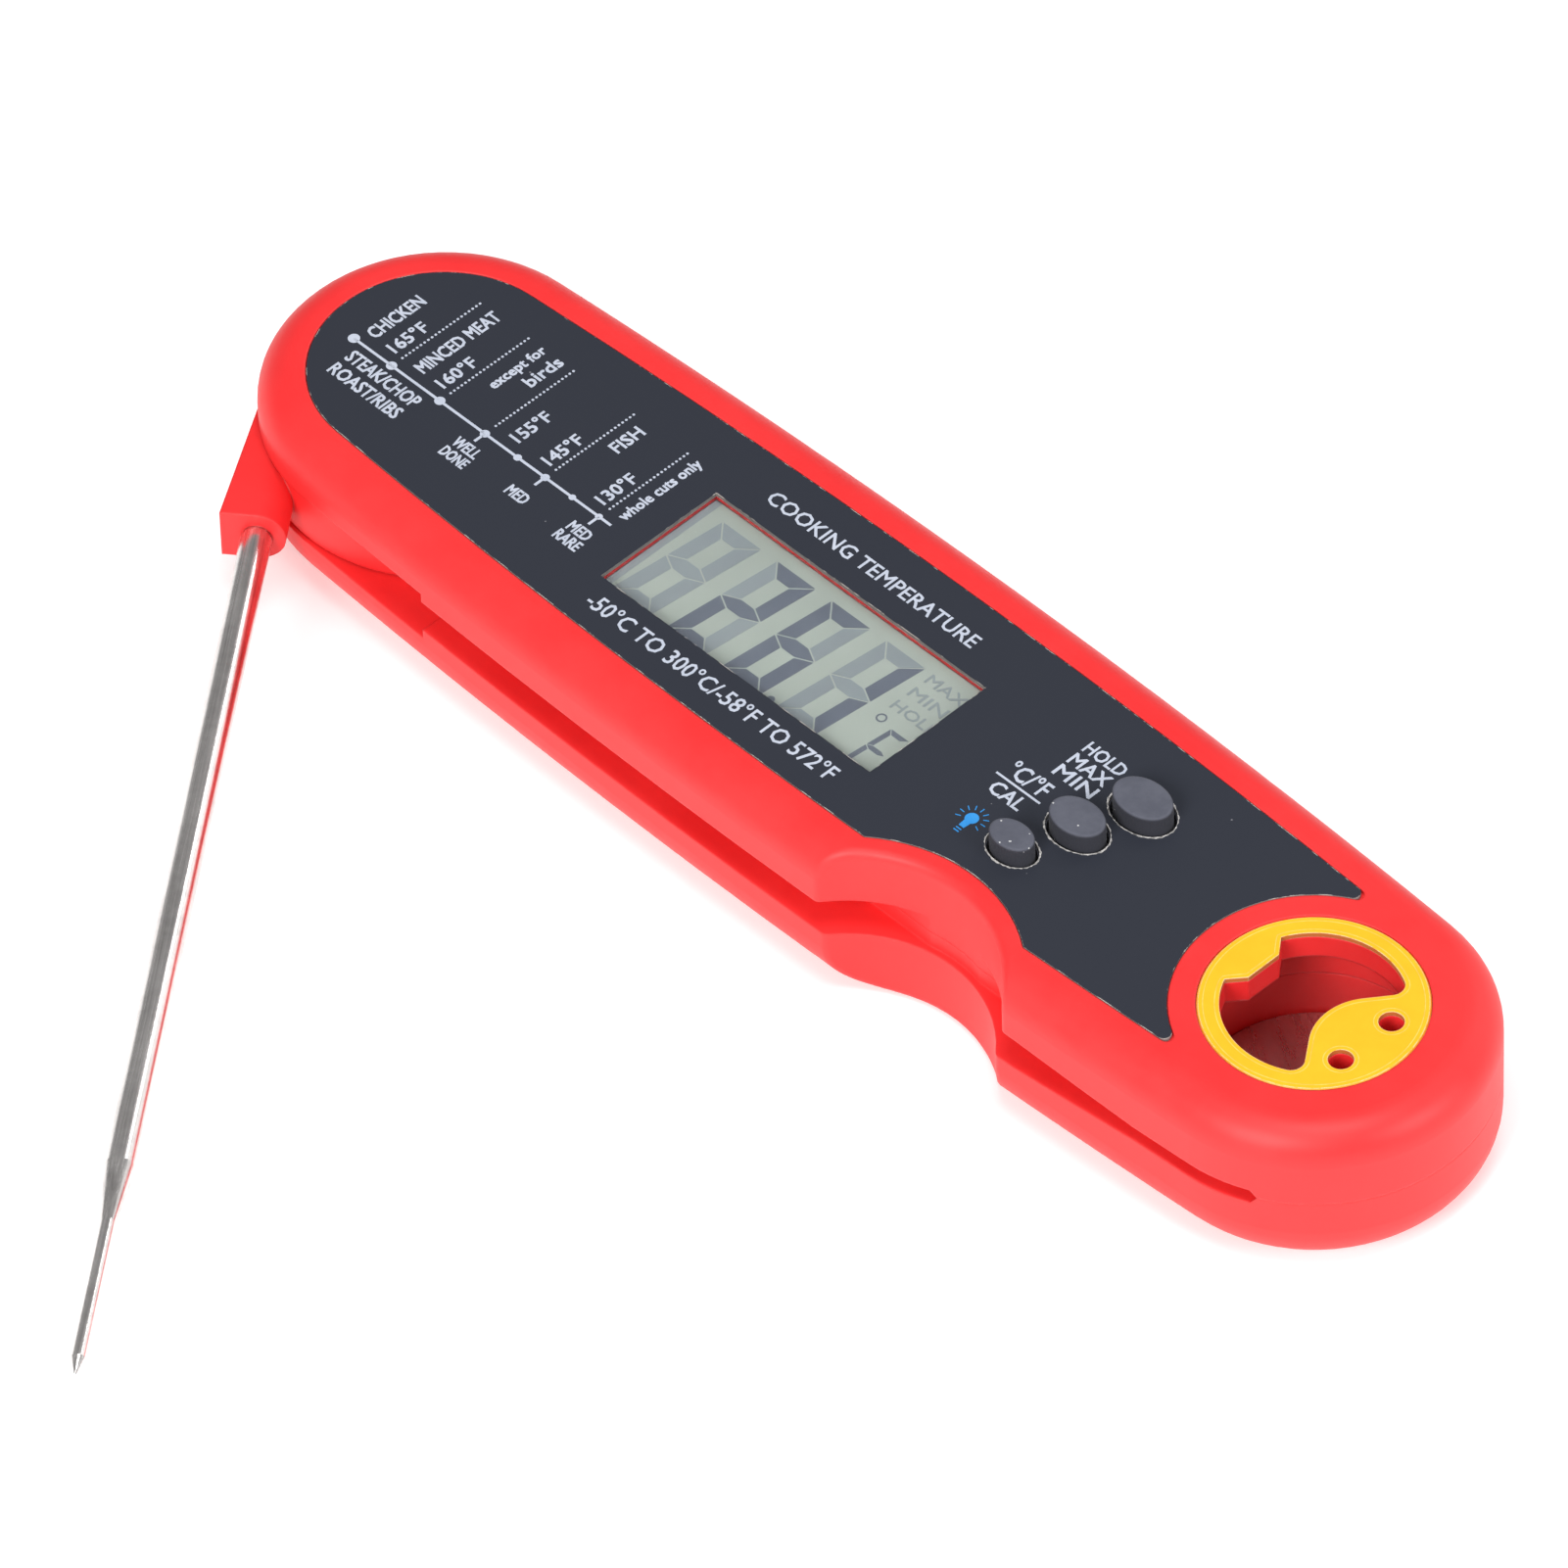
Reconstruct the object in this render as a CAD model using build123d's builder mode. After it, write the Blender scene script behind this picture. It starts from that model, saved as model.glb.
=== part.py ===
from build123d import *
from math import acos, atan2, cos, radians, sin, sqrt
import os

# Folding digital meat thermometer with a bottle opener at one end of its case.
# Frame: origin at the centre of the flat back face, +Z up through the display,
# +X from the hinge towards the opener, -Y the long side with the probe slot.
# The probe is modelled swung out to its rest angle.

os.makedirs("parts", exist_ok=True)

# ---- case ----
end_spacing = 129.0         # hinge axis to the centre of the opener
end_radius = 19.3           # round ends of the case
body_width = 42.6           # across the middle of the barrel shape
body_height = 20.0
parting_z = 10.7            # the covers meet in the middle of the probe slot
top_rounding = 4.0
bottom_rounding = 6.3
floor_thickness = 2.4       # wall of the back cover under the electronics
deck_thickness = 1.6        # wall of the front cover under the label
side_wall = 3.2             # side wall of the electronics bay
rib_wall = 1.5              # walls between bay, slot, hinge and well
gasket_in = 0.4             # gasket ring, out from the edge of the bay
gasket_out = 1.0
gasket_height = 0.8
gasket_play = 0.02          # gasket to the sides of its groove
case_screw_grip = 5.0
screw_boss_radius = 3.4
screw_radius = 1.1
screw_head_radius = 2.3
screw_head_height = 1.4
screw_head_z = 0.5
screw_y = 10.0

# ---- label and display ----
label_thickness = 0.5
label_inset = 5.2           # red border between the case edge and the label
label_gap = 0.12
window_length = 39.9
window_width = 16.7
window_x = -10.6
window_y = -0.8
window_thickness = 1.1
glass_length = 43.4
glass_width = 20.4
glass_thickness = 2.0
frame_wall = 1.4            # wall of the frame that holds the display
seat_gap = 0.1
window_gap = 0.05
label_tip_rounding = 0.8

# ---- thumb notch ----
notch_x = 27.1
notch_y = -30.5
notch_radius = 16.3
notch_border = 2.3          # red border between the notch and the label
notch_rounding = 1.0        # along the rim of the notch
notch_ledge = 0.8           # the notch is that much shallower under the slot

# ---- bottle opener ----
plate_radius = 12.0
plate_thickness = 0.6
opener_land = 2.85          # flat red ring between the plate and the label
mouth_radius = 9.65
mouth_web = 2.9             # red web with the same mouth under the plate
tooth_x = -7.2              # edge of the lifting tooth, from the plate centre
tooth_half_width = 2.2
tooth_root_angle = 155.0
hump_x = 1.85               # nearest point of the hump to the plate centre
hump_side_x = 3.0
hump_side_y = 3.7
lobe_angle = 62.0
lobe_radius = 1.45
eye_x = 7.45
eye_y = 3.65
eye_radius = 1.35
well_radius = 12.7
magnet_thickness = 2.6

# ---- probe and its folding arm ----
rest_angle = -52.1          # from folded, turning clockwise seen from above
probe_offset = 17.0         # probe axis to hinge axis
probe_radius = 1.7
probe_bore = 1.2
tip_radius = 0.83
tip_bore = 0.45
probe_thick_length = 89.7
probe_taper_length = 7.5
probe_length = 118.0
probe_point_length = 2.2
probe_insert = 12.0         # tube held inside the collar
probe_neck = 0.2            # the held end is thinner by this much in radius
probe_neck_show = 0.5       # how far the thinner end shows
hub_radius = 18.9
hub_gap = 0.3               # hub to the case walls around it
arm_thickness = 6.2
arm_gap = 0.2               # arm to the covers above and below it
collar_reach = 17.8         # hinge axis to the end face of the collar
collar_outer = 3.85         # probe axis to the flat outer side of the collar
slot_height = 4.2
slot_tip_height = 1.9
slot_side_gap = 0.7
step_gap = 0.4
back_opening = 7.0          # how far the arm's slot runs past the hinge at the back
web_thickness = 1.6         # top web of the hollow hub
spigot_radius = 4.0
spigot_length = 3.0
running_gap = 0.06
boss_wall = 2.4
hinge_screw_radius = 1.5
hinge_head_radius = 3.0
hinge_head_height = 1.6
lead_radius = 0.4
washer_thickness = 0.5
washer_recess = 0.4
hinge_head_z = 0.4          # screw head sunk below the back face
fold_magnet_radius = 1.25
fold_magnet_length = 3.0
fold_magnet_reach = 14.0    # from the hinge axis

lead_passage = 1.8
lead_bend = 5.0
spigot_hole = 2.2
hinge_screw_grip = 4.4
ring_section = 0.41         # radius of the seal ring's section
ring_groove = 0.8
collar_rib = 10.5           # the hub stays solid past this line, round the probe
bead_length = 3.0

# ---- buttons, from front to back: light, units, hold ----
button_names = ("light", "units", "hold")
button_half_lengths = (2.75, 3.4, 3.65)
button_half_widths = (1.95, 2.45, 2.6)
button_middle_x = 30.4
button_middle_y = 0.05
button_step_x = 2.97
button_step_y = 6.5
button_rise = 2.2           # above the label
button_travel = 0.6
button_gap = 0.3
button_flange = 0.7
button_flange_height = 1.0
button_edge = 0.3
keypad_skirt = 0.25         # rubber collar that lines each button hole
keypad_bridge = 0.2         # thin top layer of the keypad that carries the collars

# ---- board and what is on it ----
board_thickness = 1.2
board_top = 14.6
board_gap = 0.6
board_post_radius = 2.0
board_screw_radius = 0.8
board_screw_grip = 2.6
board_screw_head = 1.5
front_post_y = -8.4
led_length = 1.2
switch_size = 4.6
switch_height = 1.3
plunger_radius = 0.8
plunger_length = 1.0
contact_ledge = 3.0         # edge of the front glass that meets the zebra strip
chip_x = 27.0
chip_y = 3.0
chip_radius = 4.6
chip_height = 1.5
reed_y = -8.0
reed_radius = 0.9
reed_length = 9.0

# ---- battery ----
battery_radius = 10.0
battery_thickness = 3.2
battery_x = -15.0
battery_y = 1.4
battery_gap = 0.4
door_flange = 1.4
door_rim = 1.45             # flange past the spigot
seal_thickness = 0.75
ledge_thickness = 1.0
lug_thickness = 0.9
lug_half_angle = 15.0
lug_count = 3
coin_slot_length = 14.0
coin_slot_width = 1.9
coin_slot_depth = 0.8
door_turn = 45.0
contact_thickness = 0.25
contact_width = 2.6
minus_leg_x = -6.0          # from the battery's centre
cup_wall = 1.3
door_gap = 0.08

# ---- magnet behind the board, for a steel door ----
back_magnet_x = 28.0
back_magnet_y = 2.5
back_magnet_z = 0.8
back_magnet_radius = 6.0
back_magnet_thickness = 2.5

# ---- worked out from the values above ----
half_spacing = end_spacing / 2
half_width = body_width / 2
side_spans = 4              # spans of the curve along each long side
side_radius = (half_spacing**2 + half_width**2 - end_radius**2) / (2 * (half_width - end_radius))
label_z = body_height - label_thickness
deck_z = label_z - deck_thickness
window_z = body_height - window_thickness
glass_z = window_z - seat_gap
web_z = body_height - plate_thickness - mouth_web
probe_z = parting_z
arm_low = probe_z - arm_thickness / 2
arm_high = probe_z + arm_thickness / 2
pocket_low = arm_low - arm_gap
pocket_high = arm_high + arm_gap
collar_half = arm_thickness / 2
slot_wall_y = -(probe_offset - probe_radius - slot_side_gap)
pocket_wall_y = -(probe_offset - collar_half - step_gap)
step_x = -half_spacing + collar_reach + step_gap
bay_left = -half_spacing + hub_radius + hub_gap + rib_wall
bay_right = half_spacing - well_radius - rib_wall
bay_front = slot_wall_y + rib_wall
slot_tip_x = -half_spacing + collar_reach + probe_length + 2.0
spigot_bore = spigot_radius + running_gap
boss_radius = spigot_radius + boss_wall
screw_places = [(bay_left + screw_boss_radius - 0.2, screw_y),
                (bay_left + screw_boss_radius - 0.2, -screw_y),
                (bay_right - screw_boss_radius + 0.2, screw_y),
                (bay_right - screw_boss_radius + 0.2, -screw_y)]
board_left = bay_left + 2 * screw_boss_radius + 0.3
board_right = bay_right - 2 * screw_boss_radius - 0.3
board_low = board_top - board_thickness
frame_length = glass_length + 2 * (frame_wall + seat_gap)
frame_width = glass_width + 2 * (frame_wall + seat_gap)
post_y = window_y + frame_width / 2 + board_post_radius + 0.4
post_places = [(board_left + 3.2, post_y), (window_x + frame_length / 2 + 4.5, post_y),
               (board_right - 3.2, post_y), (board_right - 3.2, front_post_y)]
button_places = [(button_middle_x + k * button_step_x, button_middle_y + k * button_step_y) for k in (-1, 0, 1)]
plunger_top = board_top + switch_height + button_travel + 0.1
spigot_door_radius = battery_radius + 0.9
door_radius = spigot_door_radius + door_rim
ledge_low = door_flange + seal_thickness + 0.05
ledge_high = ledge_low + ledge_thickness
lug_low = ledge_high + 0.1
lug_high = lug_low + lug_thickness
battery_low = lug_high + 0.1
battery_high = battery_low + battery_thickness
cup_roof = battery_high + 0.8
cup_top = cup_roof + 1.2
plus_leg_x = battery_radius + contact_thickness / 2 + 0.03
lead_z = deck_z - lead_radius - 0.1
thin_start = probe_thick_length + probe_taper_length
thin_end = probe_length - probe_point_length - 0.9
ring_z = arm_high + spigot_length / 2 + 0.3


def body_face(inset):
    """Barrel outline of the case, moved inwards by inset."""
    lean = atan2(half_spacing, side_radius - half_width)
    tip_x = half_spacing + end_radius - inset

    def side_point(share):
        """Point on the +Y side, from share -1 at the hinge end to 1 at the opener end."""
        return ((side_radius - inset) * sin(lean * share),
                (side_radius - inset) * cos(lean * share) - (side_radius - half_width))

    def side_slope(share):
        """Direction of the +Y side at that share, towards the opener end."""
        return (cos(lean * share), -sin(lean * share))

    def mirrored(point):
        return (point[0], -point[1])

    with BuildSketch() as shape:
        with BuildLine():
            ends = [side_slope(-1), side_slope(1)]
            side = [side_point(2 * k / side_spans - 1) for k in range(side_spans + 1)]
            Spline(*side, tangents=ends)
            Spline(*[mirrored(point) for point in side], tangents=[mirrored(slope) for slope in ends])
            ThreePointArc(side_point(1), (tip_x, 0), mirrored(side_point(1)))
            ThreePointArc(mirrored(side_point(-1)), (-tip_x, 0), side_point(-1))
        make_face()
    return shape.sketch


def notch_face(grow):
    """Round thumb notch, made larger by grow."""
    with BuildSketch() as shape:
        with Locations((notch_x, notch_y)):
            Circle(notch_radius + grow)
    return shape.sketch


def notch_rim(part, radius):
    """Edges of a part that lie on the notch's wall, except at the parting plane."""
    def on_wall(point):
        return abs(sqrt((point.X - notch_x)**2 + (point.Y - notch_y)**2) - radius) < 0.001
    return [edge for edge in part.edges()
            if all(on_wall(edge @ share) for share in (0, 0.5, 1)) and abs(edge.center().Z - parting_z) > 0.01]


def bay_face(grow):
    """Electronics bay between the hinge, the slot, the notch and the well, larger by grow."""
    with BuildSketch() as shape:
        add(body_face(side_wall - grow))
        left = bay_left - grow
        right = bay_right + grow
        front = bay_front - grow
        with Locations(((left + right) / 2, (front + body_width) / 2)):
            Rectangle(right - left, body_width - front, mode=Mode.INTERSECT)
        with Locations((notch_x, notch_y)):
            Circle(notch_radius + rib_wall + 0.3 - grow, mode=Mode.SUBTRACT)
    return shape.sketch


def label_face(shrink):
    """Label: inside the case border, cut away by the opener ring and the notch border."""
    with BuildSketch() as shape:
        add(body_face(label_inset + shrink))
        with Locations((half_spacing, 0)):
            Circle(plate_radius + opener_land + shrink, mode=Mode.SUBTRACT)
        with Locations((notch_x, notch_y)):
            Circle(notch_radius + notch_border + shrink, mode=Mode.SUBTRACT)
        fillet(vertices().sort_by(Axis.X)[-2:], label_tip_rounding)
    return shape.sketch


def arm_pocket_face():
    """Room for the hub and the swinging collar, open round the hinge end of the case."""
    pocket_front = -body_width
    with BuildSketch() as shape:
        with Locations((-half_spacing, 0)):
            Circle(hub_radius + hub_gap)
        with Locations((-half_spacing - body_width / 2, 0)):
            Rectangle(body_width, 2 * body_width)
        with Locations((-half_spacing + back_opening / 2, body_width / 2)):
            Rectangle(back_opening, body_width)
        with Locations(((-half_spacing + step_x) / 2, (pocket_front + pocket_wall_y) / 2)):
            Rectangle(step_x + half_spacing, pocket_wall_y - pocket_front)
    return shape.sketch


def slot_face():
    """Side view of the probe slot, narrowing towards the tip; local x is X and local y is Z."""
    thick_end_x = -half_spacing + collar_reach + probe_thick_length
    half = slot_height / 2
    tip_half = slot_tip_height / 2
    with BuildSketch() as shape:
        with BuildLine():
            Polyline((step_x - 1, parting_z - half), (thick_end_x - 1.5, parting_z - half),
                     (thick_end_x + 15, parting_z - tip_half), (slot_tip_x - 0.7, parting_z - tip_half),
                     (slot_tip_x, parting_z), (slot_tip_x - 0.7, parting_z + tip_half),
                     (thick_end_x + 15, parting_z + tip_half), (thick_end_x - 1.5, parting_z + half),
                     (step_x - 1, parting_z + half), close=True)
        make_face()
    return shape.sketch


def mouth_face():
    """Opener mouth about the plate centre: a circle with a lifting tooth facing a hump."""
    root_x = mouth_radius * cos(radians(tooth_root_angle))
    root_y = mouth_radius * sin(radians(tooth_root_angle))
    lobe_turn = radians(lobe_angle)
    top_x = mouth_radius * cos(lobe_turn)
    top_y = mouth_radius * sin(lobe_turn)
    lobe_x = (mouth_radius - lobe_radius) * cos(lobe_turn)
    lobe_y = (mouth_radius - lobe_radius) * sin(lobe_turn)
    reach = sqrt((lobe_x - hump_side_x)**2 + (lobe_y - hump_side_y)**2)
    join_turn = atan2(hump_side_y - lobe_y, hump_side_x - lobe_x) + acos(lobe_radius / reach)
    join_x = lobe_x + lobe_radius * cos(join_turn)
    join_y = lobe_y + lobe_radius * sin(join_turn)
    middle_x = lobe_x + lobe_radius * cos((lobe_turn + join_turn) / 2)
    middle_y = lobe_y + lobe_radius * sin((lobe_turn + join_turn) / 2)
    with BuildSketch() as shape:
        with BuildLine():
            ThreePointArc((top_x, top_y), (0, mouth_radius), (root_x, root_y))
            Polyline((root_x, root_y), (tooth_x, tooth_half_width), (tooth_x, -tooth_half_width), (root_x, -root_y))
            ThreePointArc((root_x, -root_y), (0, -mouth_radius), (top_x, -top_y))
            ThreePointArc((top_x, -top_y), (middle_x, -middle_y), (join_x, -join_y))
            Line((join_x, -join_y), (hump_side_x, -hump_side_y))
            ThreePointArc((hump_side_x, -hump_side_y), (hump_x, 0), (hump_side_x, hump_side_y))
            Line((hump_side_x, hump_side_y), (join_x, join_y))
            ThreePointArc((join_x, join_y), (middle_x, middle_y), (top_x, top_y))
        make_face()
    return shape.sketch


def opener_plane(height):
    return Plane((half_spacing, 0, height))


def hinge_plane(height):
    return Plane((-half_spacing, 0, height))


def arm_plane(height):
    """Plane of the folding arm: local x runs along the probe, the origin is on the hinge axis."""
    turn = radians(rest_angle)
    return Plane(origin=(-half_spacing, 0, height), x_dir=(cos(turn), sin(turn), 0), z_dir=(0, 0, 1))


def battery_plane(height):
    return Plane((battery_x, battery_y, height))


def collar_plane(reach):
    """Plane across the probe axis; local x points to the collar's flat outer side."""
    turn = radians(rest_angle)
    centre = arm_plane(probe_z).from_local_coords((reach, -probe_offset, 0))
    return Plane(origin=centre, x_dir=(sin(turn), -cos(turn), 0), z_dir=(cos(turn), sin(turn), 0))


def probe_plane(distance):
    """Plane across the probe, that far from the collar's end face."""
    return collar_plane(collar_reach + distance)


def button_ovals(gap):
    """One oval for each button, wider than its stem by gap all round."""
    with BuildSketch() as shape:
        for place, length, width in zip(button_places, button_half_lengths, button_half_widths):
            with Locations(place):
                Ellipse(length + gap, width + gap)
    return shape.sketch


def lug_face(inner, outer, half_angle, turn):
    """Bayonet lugs about the battery's centre, spaced evenly from the angle turn."""
    with BuildSketch() as shape:
        for k in range(lug_count):
            middle = radians(turn + 360 / lug_count * k)
            low = middle - radians(half_angle)
            high = middle + radians(half_angle)
            with BuildLine():
                ThreePointArc((outer * cos(low), outer * sin(low)), (outer * cos(middle), outer * sin(middle)),
                              (outer * cos(high), outer * sin(high)))
                Polyline((outer * cos(high), outer * sin(high)), (inner * cos(high), inner * sin(high)),
                         (inner * cos(low), inner * sin(low)), (outer * cos(low), outer * sin(low)))
            make_face()
    return shape.sketch


def contact_plane():
    """Side view of the battery contacts: local x is X from the battery's centre, local y is Z."""
    return Plane(origin=(battery_x, battery_y + contact_width / 2, 0), x_dir=(1, 0, 0), z_dir=(0, -1, 0))


probe_root = probe_plane(0).origin
probe_way = probe_plane(0).z_dir


def probe_section_plane():
    """Plane through the probe axis; local x runs along the probe from the collar's end face."""
    return Plane(origin=probe_root, x_dir=probe_way, z_dir=(0, 0, 1))


def gasket_ring(play):
    """Ring of the gasket between the covers, thinner by play on both sides."""
    with BuildSketch() as shape:
        add(bay_face(gasket_out - play))
        add(bay_face(gasket_in + play), mode=Mode.SUBTRACT)
    return shape.sketch


groove = gasket_ring(0)


# ================= case =================

with BuildPart() as front_cover:
    with BuildSketch(Plane.XY.offset(parting_z)):
        add(body_face(0))
    extrude(amount=body_height - parting_z)
    fillet(front_cover.edges().group_by(Axis.Z)[-1], top_rounding)
    with BuildSketch(Plane.XY.offset(parting_z)):
        add(notch_face(0))
    extrude(amount=body_height, mode=Mode.SUBTRACT)
    fillet(notch_rim(front_cover, notch_radius), notch_rounding)
    # room for the arm and the probe
    with BuildSketch(Plane.XY.offset(parting_z)):
        add(arm_pocket_face())
    extrude(amount=pocket_high - parting_z, mode=Mode.SUBTRACT)
    with BuildSketch(Plane.XZ.offset(-slot_wall_y)):
        add(slot_face())
    extrude(amount=body_width, mode=Mode.SUBTRACT)
    # hollow above the hub, round the boss that holds its spigot
    with BuildSketch(hinge_plane(parting_z)):
        Circle(hub_radius - 2.1)
        Circle(boss_radius, mode=Mode.SUBTRACT)
    extrude(amount=deck_z - parting_z, mode=Mode.SUBTRACT)
    with BuildSketch(hinge_plane(parting_z)):
        Circle(spigot_bore)
    extrude(amount=deck_z - parting_z, mode=Mode.SUBTRACT)
    with BuildSketch(hinge_plane(parting_z)):
        Circle(boss_radius + 0.3)
    extrude(amount=pocket_high + washer_recess - parting_z, mode=Mode.SUBTRACT)
    # electronics bay, with thinner deck over the display
    with BuildSketch(Plane.XY.offset(parting_z)):
        add(bay_face(0))
    extrude(amount=deck_z - parting_z, mode=Mode.SUBTRACT)
    with BuildSketch(Plane((window_x, window_y, parting_z))):
        Rectangle(frame_length + 2 * seat_gap, frame_width + 2 * seat_gap)
    extrude(amount=window_z - parting_z, mode=Mode.SUBTRACT)
    # passage for the sensor lead from the hinge to the bay
    with BuildSketch(Plane(((bay_left - half_spacing) / 2, 0, lead_z - 2 * lead_radius))):
        Rectangle(bay_left + half_spacing + 2, 4 * lead_radius)
    extrude(amount=deck_z - lead_z + 2 * lead_radius, mode=Mode.SUBTRACT)
    # gasket groove
    with BuildSketch(Plane.XY.offset(parting_z)):
        add(groove)
    extrude(amount=gasket_height / 2, mode=Mode.SUBTRACT)
    # label recess, window and button holes
    with BuildSketch(Plane.XY.offset(label_z)):
        add(label_face(0))
    extrude(amount=label_thickness, mode=Mode.SUBTRACT)
    with BuildSketch(Plane((window_x, window_y, deck_z))):
        Rectangle(window_length + 2 * window_gap, window_width + 2 * window_gap)
    extrude(amount=body_height - deck_z, mode=Mode.SUBTRACT)
    with BuildSketch(Plane.XY.offset(deck_z)):
        add(button_ovals(button_gap + keypad_skirt + running_gap))
    extrude(amount=deck_thickness, mode=Mode.SUBTRACT)
    # opener: plate seat, mouth and well
    with BuildSketch(opener_plane(body_height - plate_thickness)):
        Circle(plate_radius + seat_gap / 2)
    extrude(amount=plate_thickness, mode=Mode.SUBTRACT)
    with BuildSketch(opener_plane(web_z)):
        add(mouth_face())
        with Locations((eye_x, eye_y), (eye_x, -eye_y)):
            Circle(eye_radius)
    extrude(amount=mouth_web, mode=Mode.SUBTRACT)
    with BuildSketch(opener_plane(parting_z)):
        Circle(well_radius)
    extrude(amount=web_z - parting_z, mode=Mode.SUBTRACT)
    # screw bosses and board posts
    with BuildSketch(Plane.XY.offset(parting_z)):
        with Locations(*screw_places):
            Circle(screw_boss_radius)
    extrude(amount=deck_z - parting_z)
    with BuildSketch(Plane.XY.offset(parting_z)):
        with Locations(*screw_places):
            Circle(screw_radius + seat_gap / 5)
    extrude(amount=case_screw_grip, mode=Mode.SUBTRACT)
    with BuildSketch(Plane.XY.offset(board_top)):
        with Locations(*post_places):
            Circle(board_post_radius)
    extrude(amount=deck_z - board_top)
    with BuildSketch(Plane.XY.offset(board_top)):
        with Locations(*post_places):
            Circle(board_screw_radius + seat_gap / 5)
    extrude(amount=board_screw_grip, mode=Mode.SUBTRACT)
front_cover.part.label = "front_cover"
export_step(front_cover.part, "parts/front_cover.step")

with BuildPart() as back_cover:
    with BuildSketch(Plane.XY):
        add(body_face(0))
    extrude(amount=parting_z)
    fillet(back_cover.edges().group_by(Axis.Z)[0], bottom_rounding)
    with BuildSketch(Plane.XY):
        add(notch_face(-notch_ledge))
    extrude(amount=parting_z, mode=Mode.SUBTRACT)
    fillet(notch_rim(back_cover, notch_radius - notch_ledge), notch_rounding)
    with BuildSketch(Plane.XY.offset(parting_z - slot_height / 2)):
        add(notch_face(0))
    extrude(amount=parting_z, mode=Mode.SUBTRACT)
    # room for the arm and the probe
    with BuildSketch(Plane.XY.offset(pocket_low)):
        add(arm_pocket_face())
    extrude(amount=parting_z - pocket_low, mode=Mode.SUBTRACT)
    with BuildSketch(Plane.XZ.offset(-slot_wall_y)):
        add(slot_face())
    extrude(amount=body_width, mode=Mode.SUBTRACT)
    # hollow under the hub, round the boss of the hinge screw
    with BuildSketch(hinge_plane(floor_thickness)):
        Circle(hub_radius - 3.5)
        Circle(boss_radius, mode=Mode.SUBTRACT)
    extrude(amount=parting_z - floor_thickness, mode=Mode.SUBTRACT)
    with BuildSketch(hinge_plane(pocket_low - washer_recess)):
        Circle(boss_radius + 0.3)
    extrude(amount=parting_z, mode=Mode.SUBTRACT)
    with BuildSketch(hinge_plane(arm_low - spigot_length - seat_gap)):
        Circle(spigot_bore)
    extrude(amount=parting_z, mode=Mode.SUBTRACT)
    with BuildSketch(hinge_plane(0)):
        Circle(hinge_screw_radius + running_gap)
    extrude(amount=parting_z, mode=Mode.SUBTRACT)
    with BuildSketch(hinge_plane(0)):
        Circle(hinge_head_radius + 0.25)
    extrude(amount=hinge_head_z + hinge_head_height + 0.05, mode=Mode.SUBTRACT)
    # electronics bay and gasket groove
    with BuildSketch(Plane.XY.offset(floor_thickness)):
        add(bay_face(0))
    extrude(amount=parting_z, mode=Mode.SUBTRACT)
    with BuildSketch(Plane.XY.offset(parting_z - gasket_height / 2)):
        add(groove)
    extrude(amount=gasket_height, mode=Mode.SUBTRACT)
    # well with the seat of the opener magnet
    with BuildSketch(opener_plane(floor_thickness)):
        Circle(well_radius)
    extrude(amount=parting_z, mode=Mode.SUBTRACT)
    # screw bosses, with the heads sunk into the back
    with BuildSketch(Plane.XY.offset(floor_thickness)):
        with Locations(*screw_places):
            Circle(screw_boss_radius)
    extrude(amount=parting_z - floor_thickness)
    with BuildSketch(Plane.XY):
        with Locations(*screw_places):
            Circle(screw_radius + 0.2)
    extrude(amount=parting_z, mode=Mode.SUBTRACT)
    with BuildSketch(Plane.XY):
        with Locations(*screw_places):
            Circle(screw_head_radius + 0.25)
    extrude(amount=screw_head_z + screw_head_height, mode=Mode.SUBTRACT)
    # battery cup with its bayonet ledge
    with BuildSketch(battery_plane(floor_thickness)):
        Circle(door_radius + cup_wall)
    extrude(amount=battery_low - floor_thickness)
    with BuildSketch(battery_plane(battery_low)):
        Circle(battery_radius + battery_gap + cup_wall)
    extrude(amount=cup_top - battery_low)
    with BuildSketch(battery_plane(0)):
        Circle(door_radius + seat_gap)
    extrude(amount=ledge_low, mode=Mode.SUBTRACT)
    with BuildSketch(battery_plane(ledge_low)):
        Circle(spigot_door_radius + door_gap)
        add(lug_face(battery_radius, door_radius + seat_gap, lug_half_angle + 3, -door_turn))
    extrude(amount=ledge_thickness, mode=Mode.SUBTRACT)
    with BuildSketch(battery_plane(ledge_high)):
        Circle(door_radius + seat_gap)
    extrude(amount=battery_low - ledge_high, mode=Mode.SUBTRACT)
    with BuildSketch(battery_plane(ledge_high)):
        Circle(battery_radius + battery_gap)
    extrude(amount=cup_roof - ledge_high, mode=Mode.SUBTRACT)
    # holes in the cup roof for the two contact legs
    with BuildSketch(battery_plane(cup_roof)):
        with Locations((minus_leg_x, 0), (plus_leg_x, 0)):
            Rectangle(contact_thickness + 2 * seat_gap, contact_width + 2 * seat_gap)
    extrude(amount=cup_top - cup_roof, mode=Mode.SUBTRACT)
    # seat ring of the back magnet
    with BuildSketch(Plane((back_magnet_x, back_magnet_y, floor_thickness))):
        Circle(back_magnet_radius + 1.2)
        Circle(back_magnet_radius + seat_gap / 2, mode=Mode.SUBTRACT)
    extrude(amount=back_magnet_thickness)
    with BuildSketch(Plane((back_magnet_x, back_magnet_y, back_magnet_z))):
        Circle(back_magnet_radius + seat_gap / 2)
    extrude(amount=parting_z - back_magnet_z, mode=Mode.SUBTRACT)
back_cover.part.label = "back_cover"
export_step(back_cover.part, "parts/back_cover.step")

with BuildPart() as case_gasket:
    with BuildSketch(Plane.XY.offset(parting_z - gasket_height / 2)):
        add(gasket_ring(gasket_play))
    extrude(amount=gasket_height)
case_gasket.part.label = "case_gasket"
export_step(case_gasket.part, "parts/case_gasket.step")

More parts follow.
